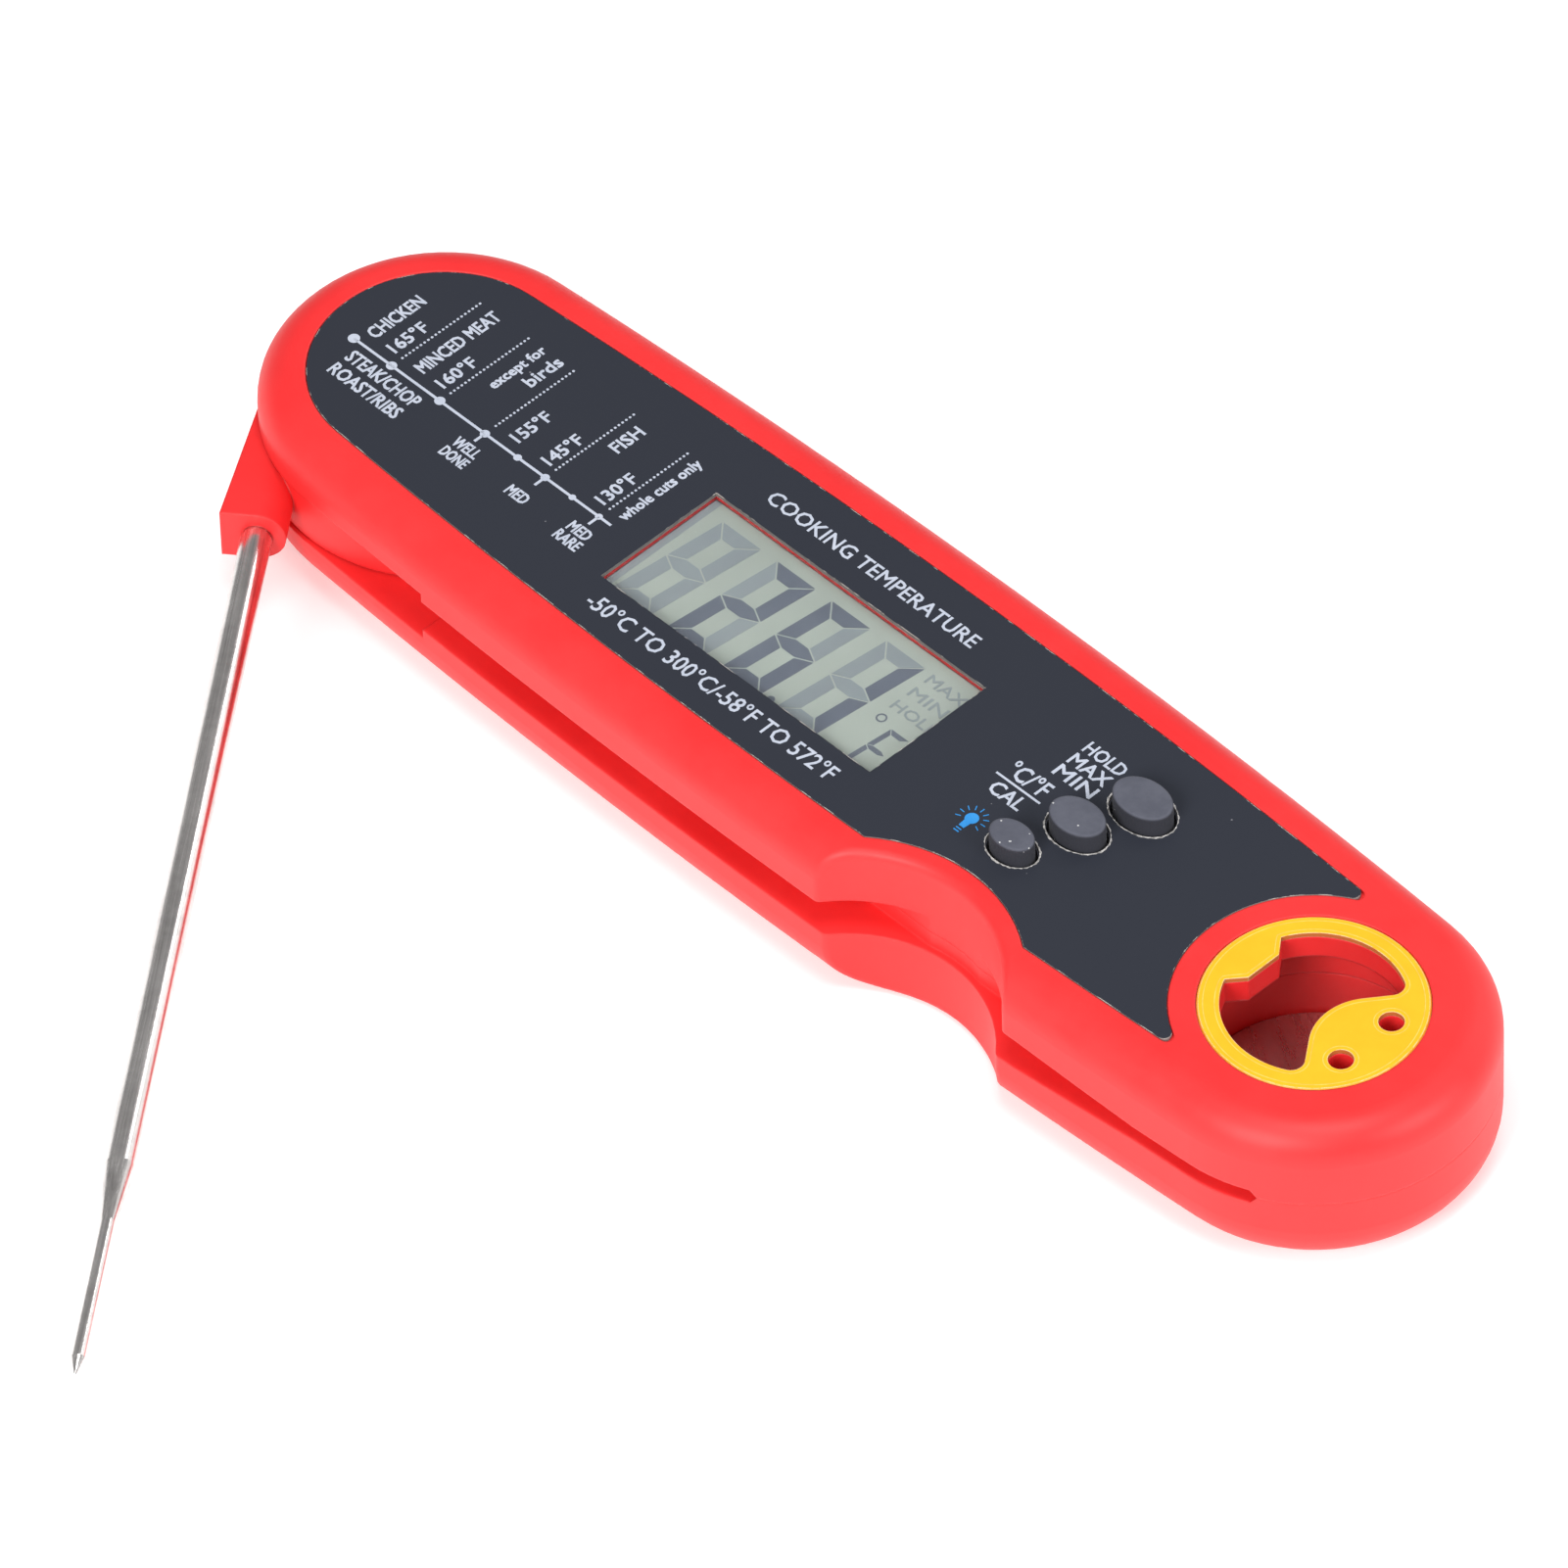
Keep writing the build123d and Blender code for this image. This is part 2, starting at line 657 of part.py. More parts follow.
with BuildPart() as case_screws:
    with BuildSketch(Plane.XY.offset(screw_head_z)):
        with Locations(*screw_places):
            Circle(screw_head_radius)
    extrude(amount=screw_head_height)
    with BuildSketch(Plane.XY.offset(screw_head_z)):
        with Locations(*screw_places):
            Rectangle(2.6, 0.6)
            Rectangle(0.6, 2.6)
    extrude(amount=0.8, mode=Mode.SUBTRACT)
    with BuildSketch(Plane.XY.offset(screw_head_z + screw_head_height)):
        with Locations(*screw_places):
            Circle(screw_radius)
    extrude(amount=parting_z + case_screw_grip - 0.5 - screw_head_z - screw_head_height)
case_screws.part.label = "case_screws"
export_step(case_screws.part, "parts/case_screws.step")

with BuildPart() as back_magnet:
    with BuildSketch(Plane((back_magnet_x, back_magnet_y, back_magnet_z))):
        Circle(back_magnet_radius)
    extrude(amount=back_magnet_thickness)
back_magnet.part.label = "back_magnet"
export_step(back_magnet.part, "parts/back_magnet.step")

# ================= label, window and opener =================

with BuildPart() as face_label:
    with BuildSketch(Plane.XY.offset(label_z)):
        add(label_face(label_gap))
        with Locations((window_x, window_y)):
            Rectangle(window_length, window_width, mode=Mode.SUBTRACT)
        add(button_ovals(button_gap + 0.1), mode=Mode.SUBTRACT)
    extrude(amount=label_thickness)
face_label.part.label = "face_label"
export_step(face_label.part, "parts/face_label.step")

with BuildPart() as display_window:
    with BuildSketch(Plane((window_x, window_y, window_z))):
        Rectangle(window_length, window_width)
    extrude(amount=window_thickness)
display_window.part.label = "display_window"
export_step(display_window.part, "parts/display_window.step")

with BuildPart() as opener_plate:
    with BuildSketch(opener_plane(body_height - plate_thickness)):
        Circle(plate_radius)
    extrude(amount=plate_thickness)
    chamfer(opener_plate.edges().group_by(Axis.Z)[-1], 0.2)
    with BuildSketch(opener_plane(body_height - plate_thickness)):
        add(mouth_face())
        with Locations((eye_x, eye_y), (eye_x, -eye_y)):
            Circle(eye_radius)
    extrude(amount=plate_thickness, mode=Mode.SUBTRACT)
opener_plate.part.label = "opener_plate"
export_step(opener_plate.part, "parts/opener_plate.step")

with BuildPart() as opener_magnet:
    with BuildSketch(opener_plane(floor_thickness)):
        Circle(well_radius - seat_gap / 2)
    extrude(amount=magnet_thickness)
    chamfer(opener_magnet.edges().group_by(Axis.Z)[-1], 0.25)
opener_magnet.part.label = "opener_magnet"
export_step(opener_magnet.part, "parts/opener_magnet.step")

# ================= display, board and electronics =================

with BuildPart() as lcd_panel:
    with BuildSketch(Plane((window_x, window_y, glass_z - glass_thickness / 2))):
        Rectangle(glass_length, glass_width)
    extrude(amount=glass_thickness / 2)
    with BuildSketch(Plane((window_x, window_y + contact_ledge / 2, glass_z - glass_thickness))):
        Rectangle(glass_length, glass_width - contact_ledge)
    extrude(amount=glass_thickness / 2)
lcd_panel.part.label = "lcd_panel"
export_step(lcd_panel.part, "parts/lcd_panel.step")

with BuildPart() as lcd_frame:
    with BuildSketch(Plane((window_x, window_y, board_top))):
        Rectangle(frame_length, frame_width)
        Rectangle(glass_length + 2 * seat_gap, glass_width + 2 * seat_gap, mode=Mode.SUBTRACT)
    extrude(amount=window_z - board_top)
lcd_frame.part.label = "lcd_frame"
export_step(lcd_frame.part, "parts/lcd_frame.step")

with BuildPart() as zebra_strip:
    with BuildSketch(Plane((window_x, window_y - glass_width / 2 + contact_ledge / 2, board_top))):
        Rectangle(glass_length - 2.0, contact_ledge - 0.8)
    extrude(amount=glass_z - glass_thickness / 2 - board_top)
zebra_strip.part.label = "zebra_strip"
export_step(zebra_strip.part, "parts/zebra_strip.step")

with BuildPart() as backlight_diffuser:
    with BuildSketch(Plane((window_x, window_y + contact_ledge / 2, board_top))):
        Rectangle(glass_length - 2 * led_length - 0.8, glass_width - contact_ledge - 0.6)
    extrude(amount=glass_z - glass_thickness - board_top)
backlight_diffuser.part.label = "backlight_diffuser"
export_step(backlight_diffuser.part, "parts/backlight_diffuser.step")

with BuildPart() as backlight_led:
    led_x = window_x + glass_length / 2 - led_length / 2 - 0.2
    with BuildSketch(Plane((led_x, window_y + contact_ledge / 2, board_top))):
        Rectangle(led_length, 3.0)
    extrude(amount=1.6)
backlight_led.part.label = "backlight_led"
export_step(backlight_led.part, "parts/backlight_led.step")

with BuildPart() as circuit_board:
    with BuildSketch(Plane.XY.offset(board_low)):
        add(bay_face(-board_gap))
        with Locations(((board_left + board_right) / 2, 0)):
            Rectangle(board_right - board_left, 2 * body_width, mode=Mode.INTERSECT)
        with Locations(*post_places):
            Circle(board_screw_radius + 0.1, mode=Mode.SUBTRACT)
    extrude(amount=board_thickness)
circuit_board.part.label = "circuit_board"
export_step(circuit_board.part, "parts/circuit_board.step")

with BuildPart() as board_screws:
    with BuildSketch(Plane.XY.offset(board_low - 1.0)):
        with Locations(*post_places):
            Circle(board_screw_head)
    extrude(amount=1.0)
    with BuildSketch(Plane.XY.offset(board_low)):
        with Locations(*post_places):
            Circle(board_screw_radius)
    extrude(amount=board_thickness + board_screw_grip - 0.4)
board_screws.part.label = "board_screws"
export_step(board_screws.part, "parts/board_screws.step")

with BuildPart() as main_chip:
    with BuildSketch(Plane((chip_x, chip_y, board_low - chip_height))):
        Circle(chip_radius)
    extrude(amount=chip_height)
    fillet(main_chip.edges().group_by(Axis.Z)[0], chip_height - 0.2)
main_chip.part.label = "main_chip"
export_step(main_chip.part, "parts/main_chip.step")

with BuildPart() as reed_switch:
    with BuildSketch(Plane(origin=(board_left + 2.0, reed_y, board_low - reed_radius), z_dir=(0, 1, 0))):
        Circle(reed_radius)
    extrude(amount=reed_length)
    fillet(reed_switch.edges(), 0.4)
reed_switch.part.label = "reed_switch"
export_step(reed_switch.part, "parts/reed_switch.step")

with BuildPart() as tact_switches:
    with BuildSketch(Plane.XY.offset(board_top)):
        with Locations(*button_places):
            Rectangle(switch_size, switch_size)
    extrude(amount=switch_height)
    with BuildSketch(Plane.XY.offset(board_top + 0.3)):
        with Locations(*button_places):
            Circle(plunger_radius + running_gap)
    extrude(amount=switch_height, mode=Mode.SUBTRACT)
tact_switches.part.label = "tact_switches"
export_step(tact_switches.part, "parts/tact_switches.step")

with BuildPart() as keypad_web:
    with BuildSketch(Plane.XY.offset(deck_z - 0.5)):
        add(button_ovals(button_flange + 1.5))
        add(button_ovals(button_flange + 0.25), mode=Mode.SUBTRACT)
    extrude(amount=0.5)
    with BuildSketch(Plane.XY.offset(deck_z - keypad_bridge)):
        add(button_ovals(button_flange + 0.5))
        add(button_ovals(button_gap), mode=Mode.SUBTRACT)
    extrude(amount=keypad_bridge)
    with BuildSketch(Plane.XY.offset(deck_z)):
        add(button_ovals(button_gap + keypad_skirt))
        add(button_ovals(button_gap), mode=Mode.SUBTRACT)
    extrude(amount=deck_thickness - running_gap)
keypad_web.part.label = "keypad_web"
export_step(keypad_web.part, "parts/keypad_web.step")

for name, place, length, width in zip(button_names, button_places, button_half_lengths, button_half_widths):
    with BuildPart() as button:
        with BuildSketch(Plane((*place, plunger_top))):
            Ellipse(length + button_flange, width + button_flange)
        extrude(amount=button_flange_height)
        with BuildSketch(Plane((*place, plunger_top))):
            Ellipse(length, width)
        extrude(amount=body_height + button_rise - plunger_top)
        fillet(button.edges().group_by(Axis.Z)[-1], button_edge)
    button.part.label = f"button_{name}"
    export_step(button.part, f"parts/button_{name}.step")

    with BuildPart() as plunger:
        with BuildSketch(Plane((*place, plunger_top - plunger_length))):
            Circle(plunger_radius)
        extrude(amount=plunger_length)
    plunger.part.label = f"plunger_{name}"
    export_step(plunger.part, f"parts/plunger_{name}.step")

# ================= battery =================

with BuildPart() as battery_cell:
    with BuildSketch(battery_plane(battery_low)):
        Circle(battery_radius)
    extrude(amount=battery_thickness)
    chamfer(battery_cell.edges().group_by(Axis.Z)[0], 0.3)
    fillet(battery_cell.edges().group_by(Axis.Z)[-1], 0.5)
battery_cell.part.label = "battery_cell"
export_step(battery_cell.part, "parts/battery_cell.step")

with BuildPart() as battery_contact_minus:
    strip_z = cup_roof - contact_thickness / 2
    touch_z = battery_high + contact_thickness / 2 + 0.03
    with BuildSketch(contact_plane()):
        with BuildLine():
            Polyline((minus_leg_x, board_low), (minus_leg_x, strip_z), (minus_leg_x + 3, strip_z),
                     (2.5, touch_z), (4.0, touch_z + 0.3))
        trace(line_width=contact_thickness)
    extrude(amount=contact_width)
battery_contact_minus.part.label = "battery_contact_minus"
export_step(battery_contact_minus.part, "parts/battery_contact_minus.step")

with BuildPart() as battery_contact_plus:
    with BuildSketch(contact_plane()):
        with BuildLine():
            Polyline((plus_leg_x, board_low), (plus_leg_x, battery_low + 1.0))
        trace(line_width=contact_thickness)
    extrude(amount=contact_width)
battery_contact_plus.part.label = "battery_contact_plus"
export_step(battery_contact_plus.part, "parts/battery_contact_plus.step")

with BuildPart() as battery_door:
    with BuildSketch(battery_plane(0)):
        Circle(door_radius)
    extrude(amount=door_flange)
    chamfer(battery_door.edges().group_by(Axis.Z)[0], 0.3)
    with BuildSketch(battery_plane(door_flange)):
        Circle(spigot_door_radius)
    extrude(amount=lug_high - door_flange)
    with BuildSketch(battery_plane(door_flange)):
        Circle(spigot_door_radius - 1.6)
    extrude(amount=battery_low, mode=Mode.SUBTRACT)
    with BuildSketch(battery_plane(lug_low)):
        add(lug_face(battery_radius, door_radius - seat_gap, lug_half_angle, 0))
    extrude(amount=lug_thickness)
    with BuildSketch(battery_plane(0)):
        SlotOverall(coin_slot_length, coin_slot_width)
    extrude(amount=coin_slot_depth, mode=Mode.SUBTRACT)
battery_door.part.label = "battery_door"
export_step(battery_door.part, "parts/battery_door.step")

with BuildPart() as battery_door_seal:
    with BuildSketch(battery_plane(door_flange)):
        Circle(door_radius - 0.15)
        Circle(spigot_door_radius + 0.05, mode=Mode.SUBTRACT)
    extrude(amount=seal_thickness)
battery_door_seal.part.label = "battery_door_seal"
export_step(battery_door_seal.part, "parts/battery_door_seal.step")

# ================= folding arm and probe =================

with BuildPart() as probe_arm:
    with BuildSketch(arm_plane(arm_low)):
        Circle(hub_radius)
    extrude(amount=arm_thickness)
    # D-shaped collar: flat on its outer side, round on its inner side
    with BuildSketch(collar_plane(collar_reach)):
        Circle(collar_half)
        with Locations((collar_outer / 2, 0)):
            Rectangle(collar_outer, arm_thickness)
    extrude(amount=-collar_reach - 2)
    # the outer side flares from the hub to the corner of the end face
    corner = Vector(collar_reach, -probe_offset - collar_outer)
    with BuildSketch(arm_plane(arm_low)):
        with BuildLine():
            turn = atan2(corner.Y, corner.X) - acos(hub_radius / corner.length)
            touch = Vector(hub_radius * cos(turn), hub_radius * sin(turn))
            away = Vector(sin(turn), -cos(turn)) * (corner - touch).length
            Polyline(touch, corner, corner + Vector(0, -3), touch + Vector(-6, -6), touch + away, close=True)
        make_face()
    extrude(amount=arm_thickness, mode=Mode.SUBTRACT)
    # spigots that turn in the bosses of the covers
    with BuildSketch(arm_plane(arm_low - spigot_length)):
        Circle(spigot_radius)
    extrude(amount=arm_thickness + 2 * spigot_length)
    # hollow underside with a rib for the sensor lead and a seat for the fold magnet
    with BuildSketch(arm_plane(arm_low)):
        Circle(hub_radius - web_thickness)
        Circle(spigot_radius + web_thickness, mode=Mode.SUBTRACT)
        with Locations((0, -hub_radius + (hub_radius - collar_rib) / 2)):
            Rectangle(2 * hub_radius, hub_radius - collar_rib, mode=Mode.SUBTRACT)
        with Locations((0, -hub_radius / 2)):
            Rectangle(4.4, hub_radius, mode=Mode.SUBTRACT)
        with Locations((fold_magnet_reach, 0)):
            Circle(fold_magnet_radius + 1.2, mode=Mode.SUBTRACT)
    extrude(amount=arm_thickness - web_thickness, mode=Mode.SUBTRACT)
    with BuildSketch(arm_plane(arm_low)):
        with Locations((fold_magnet_reach, 0)):
            Circle(fold_magnet_radius + running_gap)
    extrude(amount=fold_magnet_length, mode=Mode.SUBTRACT)
    # bores for the probe tube, the lead and the hinge screw
    with BuildSketch(collar_plane(collar_reach)):
        Circle(probe_radius - probe_neck + seat_gap / 5)
    extrude(amount=-probe_insert, mode=Mode.SUBTRACT)
    with BuildSketch(arm_plane(probe_z - lead_passage / 2)):
        with Locations(((collar_reach - probe_insert) / 2, -probe_offset)):
            Rectangle(collar_reach - probe_insert + lead_passage + 0.4, lead_passage)
        with Locations((lead_bend / 2, -probe_offset + lead_bend / 2)):
            Rectangle(lead_bend + lead_passage, lead_bend + lead_passage)
        with Locations((0, -probe_offset / 2)):
            Rectangle(lead_passage, probe_offset)
    extrude(amount=lead_passage, mode=Mode.SUBTRACT)
    with BuildSketch(arm_plane(probe_z - lead_passage / 2)):
        Circle(spigot_hole)
    extrude(amount=body_height, mode=Mode.SUBTRACT)
    with BuildSketch(arm_plane(arm_low - spigot_length)):
        Circle(hinge_screw_radius + seat_gap / 5)
    extrude(amount=hinge_screw_grip, mode=Mode.SUBTRACT)
    # groove for the hinge seal
    with BuildSketch(arm_plane(ring_z - ring_section - 0.1)):
        Circle(spigot_radius + 0.5)
        Circle(spigot_radius - ring_groove, mode=Mode.SUBTRACT)
    extrude(amount=2 * ring_section + 0.2, mode=Mode.SUBTRACT)
probe_arm.part.label = "probe_arm"
export_step(probe_arm.part, "parts/probe_arm.step")

with BuildPart() as probe_tube:
    with BuildSketch(probe_section_plane()):
        with BuildLine():
            Polyline((-probe_insert, probe_bore), (-probe_insert, probe_radius - probe_neck),
                     (probe_neck_show, probe_radius - probe_neck), (probe_neck_show, probe_radius),
                     (probe_thick_length, probe_radius),
                     (thin_start, tip_radius), (probe_length - probe_point_length, tip_radius),
                     (probe_length - 0.15, 0.14), (probe_length, 0), (thin_end, 0), (thin_end, tip_bore),
                     (thin_start, tip_bore), (probe_thick_length, probe_bore), close=True)
        make_face()
    revolve(axis=Axis(probe_root, probe_way))
probe_tube.part.label = "probe_tube"
export_step(probe_tube.part, "parts/probe_tube.step")

with BuildPart() as sensor_bead:
    with BuildSketch(probe_plane(thin_end - bead_length - 0.1)):
        Circle(tip_bore - 0.03)
    extrude(amount=bead_length)
sensor_bead.part.label = "sensor_bead"
export_step(sensor_bead.part, "parts/sensor_bead.step")

with BuildPart() as probe_lead:
    flat = arm_plane(probe_z)
    lead_end = collar_reach + thin_end - bead_length - 0.1
    with BuildLine() as lead_route:
        FilletPolyline(flat.from_local_coords((lead_end, -probe_offset, 0)),
                       flat.from_local_coords((0, -probe_offset, 0)),
                       flat.from_local_coords((0, 0, 0)),
                       flat.from_local_coords((0, 0, arm_high + spigot_length - probe_z)),
                       radius=[lead_bend, 2.4])
    with BuildSketch(Plane(origin=lead_route.line @ 0, z_dir=lead_route.line % 0)):
        Circle(lead_radius)
    sweep()
probe_lead.part.label = "probe_lead"
export_step(probe_lead.part, "parts/probe_lead.step")

with BuildPart() as board_lead:
    with BuildLine() as loop_route:
        FilletPolyline((-half_spacing + 0.6, 0, lead_z), (board_left + 1.2, 0, lead_z), (board_left + 1.2, 0, board_top),
                       radius=1.4)
    with BuildSketch(Plane(origin=loop_route.line @ 0, z_dir=loop_route.line % 0)):
        Circle(lead_radius)
    sweep()
board_lead.part.label = "board_lead"
export_step(board_lead.part, "parts/board_lead.step")

with BuildPart() as fold_magnet:
    with BuildSketch(arm_plane(arm_low)):
        with Locations((fold_magnet_reach, 0)):
            Circle(fold_magnet_radius)
    extrude(amount=fold_magnet_length)
fold_magnet.part.label = "fold_magnet"
export_step(fold_magnet.part, "parts/fold_magnet.step")

with BuildPart() as hinge_screw:
    with BuildSketch(hinge_plane(hinge_head_z)):
        Circle(hinge_head_radius)
    extrude(amount=hinge_head_height)
    with BuildSketch(hinge_plane(hinge_head_z)):
        Rectangle(3.6, 0.8)
        Rectangle(0.8, 3.6)
    extrude(amount=0.9, mode=Mode.SUBTRACT)
    with BuildSketch(hinge_plane(hinge_head_z + hinge_head_height)):
        Circle(hinge_screw_radius)
    extrude(amount=arm_low - spigot_length + hinge_screw_grip - 0.4 - hinge_head_z - hinge_head_height)
hinge_screw.part.label = "hinge_screw"
export_step(hinge_screw.part, "parts/hinge_screw.step")

with BuildPart() as hinge_washers:
    for washer_z in (pocket_low - washer_recess + 0.05, pocket_high + washer_recess - 0.05 - washer_thickness):
        with BuildSketch(hinge_plane(washer_z)):
            Circle(boss_radius)
            Circle(spigot_radius + 0.15, mode=Mode.SUBTRACT)
        extrude(amount=washer_thickness)
hinge_washers.part.label = "hinge_washers"
export_step(hinge_washers.part, "parts/hinge_washers.step")

with BuildPart() as hinge_seal:
    with BuildSketch(Plane(origin=(-half_spacing, 0, ring_z), x_dir=(1, 0, 0), z_dir=(0, -1, 0))):
        with Locations((spigot_radius - ring_groove + ring_section, 0)):
            Circle(ring_section)
    revolve(axis=Axis((-half_spacing, 0, ring_z), (0, 0, 1)))
hinge_seal.part.label = "hinge_seal"
export_step(hinge_seal.part, "parts/hinge_seal.step")
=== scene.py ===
import math
import bmesh
import bpy
import numpy as np
from mathutils import Matrix, Vector


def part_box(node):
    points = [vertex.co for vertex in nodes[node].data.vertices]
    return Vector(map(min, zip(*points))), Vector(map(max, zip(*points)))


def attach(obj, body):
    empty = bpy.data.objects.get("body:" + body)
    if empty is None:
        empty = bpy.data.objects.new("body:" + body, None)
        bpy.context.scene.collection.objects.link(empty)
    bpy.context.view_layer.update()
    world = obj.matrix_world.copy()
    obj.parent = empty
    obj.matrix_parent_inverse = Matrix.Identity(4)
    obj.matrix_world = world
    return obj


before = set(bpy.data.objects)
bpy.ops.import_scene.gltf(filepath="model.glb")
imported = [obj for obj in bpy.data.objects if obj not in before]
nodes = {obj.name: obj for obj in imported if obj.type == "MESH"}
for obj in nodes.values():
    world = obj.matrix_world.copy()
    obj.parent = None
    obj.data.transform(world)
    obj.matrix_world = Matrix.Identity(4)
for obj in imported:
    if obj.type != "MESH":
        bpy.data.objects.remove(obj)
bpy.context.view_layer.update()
mm = 0.001

# heights taken from the CAD nodes, in metres: the label's face and the display's face
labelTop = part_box("face_label")[1].z
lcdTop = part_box("lcd_panel")[1].z
print("frame loaded:", len(nodes), "nodes")

# camera and light
view = {
    "place": (1.02139, -0.95818, 1.49297),
    "right": (0.69716, 0.71654, -0.02332),      # the camera's own axes in the row frame
    "up": (-0.51097, 0.51944, 0.68490),
    "back": (0.50287, -0.46557, 0.72826),
    "lens": 452.2,
    "sensor": 36.0,
    "near": 0.05,
    "far": 20.0,
}
lights = {
    # name: place, aims at, side of the square in metres, power in watts, colour
    "keyLight": ((0.35, -1.3, 0.95), (-0.02, 0.0, 0.01), 0.7, 22.0, (1.0, 0.99, 0.975)),
    "fillLight": ((1.3, 0.35, 0.7), (0.0, 0.0, 0.01), 0.6, 9.5, (0.98, 0.99, 1.0)),
    "backLight": ((-0.09, 1.0, 0.74), (-0.04, -0.07, 0.01), 0.14, 0.8, (1.0, 1.0, 1.0)),
    "backCard": ((0.15, 1.2, 0.4), (-0.04, -0.07, 0.01), 0.75, 1.8, (1.0, 1.0, 1.0)),
    "topLight": ((0.25, -0.1, 1.35), (0.0, 0.0, 0.01), 0.6, 8.0, (1.0, 1.0, 1.0)),
}
worldLight = {"colour": (1.0, 1.0, 1.0), "strength": 0.32}


def makeCamera():
    camera = bpy.data.objects.new("camera", bpy.data.cameras.new("camera"))
    camera.data.lens = view["lens"]
    camera.data.sensor_width = view["sensor"]
    camera.data.clip_start = view["near"]
    camera.data.clip_end = view["far"]
    turn = Matrix((view["right"], view["up"], view["back"])).transposed()
    camera.matrix_world = Matrix.Translation(view["place"]) @ turn.to_4x4()
    bpy.context.scene.collection.objects.link(camera)
    bpy.context.scene.camera = camera


def makeLights():
    for name, (place, target, side, power, colour) in lights.items():
        data = bpy.data.lights.new(name, "AREA")
        data.shape = "SQUARE"
        data.size = side
        data.energy = power
        data.color = colour
        lamp = bpy.data.objects.new(name, data)
        lamp.location = place
        lamp.rotation_euler = (Vector(target) - Vector(place)).to_track_quat("-Z", "Y").to_euler()
        bpy.context.scene.collection.objects.link(lamp)
    world = bpy.data.worlds.new("studio")
    world.use_nodes = True
    sky = world.node_tree.nodes["Background"]
    sky.inputs["Color"].default_value = (*worldLight["colour"], 1)
    sky.inputs["Strength"].default_value = worldLight["strength"]
    bpy.context.scene.world = world
    bpy.context.scene.view_settings.view_transform = "Standard"


makeCamera()
makeLights()
print("camera and lights placed")


# small tools for shader trees

def linear(red, green, blue):
    # sRGB 0..255 to linear: ((c + 0.055) / 1.055) to the power 2.4 above the toe, c / 12.92 below it
    c = np.array([red, green, blue]) / 255
    c = np.where(c > 0.04045, ((c + 0.055) / 1.055) ** 2.4, c / 12.92)
    return (*map(float, c), 1.0)


def newGroup(name, inputs, outputs):
    group = bpy.data.node_groups.new(name, "ShaderNodeTree")
    for socketName, kind, value in inputs:
        socket = group.interface.new_socket(socketName, in_out="INPUT", socket_type="NodeSocket" + kind)
        if value is not None:
            socket.default_value = value
    for socketName, kind in outputs:
        group.interface.new_socket(socketName, in_out="OUTPUT", socket_type="NodeSocket" + kind)
    return group, group.nodes.new("NodeGroupInput"), group.nodes.new("NodeGroupOutput")


def feed(tree, socket, value):
    # another node's output is linked to the socket; anything else becomes the socket's own value
    if isinstance(value, bpy.types.NodeSocket):
        tree.links.new(value, socket)
    else:
        socket.default_value = value


def add(tree, kind, **values):
    # one node; a value that names a socket sets it, any other sets a property
    node = tree.nodes.new("ShaderNode" + kind)
    for key, value in values.items():
        if key in node.bl_rna.properties:
            setattr(node, key, value)
    for key, value in values.items():
        if key not in node.bl_rna.properties:
            feed(tree, node.inputs[key.replace("_", " ")], value)
    return node


def calc(tree, operation, first, second=0.0, clamp=False):
    node = tree.nodes.new("ShaderNodeMath")
    node.operation = operation
    node.use_clamp = clamp
    for socket, value in zip(node.inputs, (first, second)):
        feed(tree, socket, value)
    return node.outputs[0]


def spread(tree, value, low, high, toLow=0.0, toHigh=1.0, kind="LINEAR"):
    # value between low and high is spread over toLow..toHigh, and held at the ends
    node = add(tree, "MapRange", interpolation_type=kind, From_Min=low, From_Max=high, To_Min=toLow,
               To_Max=toHigh, Value=value)
    return node.outputs[0]


def mixColour(tree, mask, first, second):
    # the Mix node's sockets of kind colour are inputs 6 and 7 and output 2
    node = tree.nodes.new("ShaderNodeMix")
    node.data_type = "RGBA"
    for k, value in ((0, mask), (6, first), (7, second)):
        feed(tree, node.inputs[k], value)
    return node.outputs[2]


def useGroup(tree, group, **values):
    node = tree.nodes.new("ShaderNodeGroup")
    node.node_tree = group
    for key, value in values.items():
        feed(tree, node.inputs[key], value)
    return node


def upward(tree):
    # height of the surface normal: 1 facing up, 0 on a wall
    return add(tree, "SeparateXYZ", Vector=add(tree, "NewGeometry").outputs["Normal"]).outputs["Z"]


# shared surface effects; scales are in cells per metre

def makeGrain():
    # fine moulded texture: height = 0.7 * noise + 0.3 * cell distance
    group, inside, outside = newGroup(
        "mouldGrain", [("Vector", "Vector", None), ("Scale", "Float", 2500.0)], [("Height", "Float")])
    noise = add(group, "TexNoise", Vector=inside.outputs["Vector"], Scale=inside.outputs["Scale"], Detail=3.0)
    cells = add(group, "TexVoronoi", Vector=inside.outputs["Vector"],
                Scale=calc(group, "MULTIPLY", inside.outputs["Scale"], 0.6))
    height = calc(group, "ADD", calc(group, "MULTIPLY", noise.outputs[0], 0.7),
                  calc(group, "MULTIPLY", cells.outputs["Distance"], 0.3))
    group.links.new(height, outside.inputs["Height"])
    return group


def makeSmudges():
    # soft handling marks: 0.65 * wide noise + 0.35 * noise six times as fine, spread to 0..1
    group, inside, outside = newGroup(
        "handlingSmudges", [("Vector", "Vector", None), ("Scale", "Float", 60.0)], [("Mask", "Float")])
    wide = add(group, "TexNoise", Vector=inside.outputs["Vector"], Scale=inside.outputs["Scale"], Detail=2.0)
    tight = add(group, "TexNoise", Vector=inside.outputs["Vector"],
                Scale=calc(group, "MULTIPLY", inside.outputs["Scale"], 6.0), Detail=4.0)
    both = calc(group, "ADD", calc(group, "MULTIPLY", wide.outputs[0], 0.65),
                calc(group, "MULTIPLY", tight.outputs[0], 0.35))
    group.links.new(spread(group, both, 0.3, 0.7, kind="SMOOTHSTEP"), outside.inputs["Mask"])
    return group


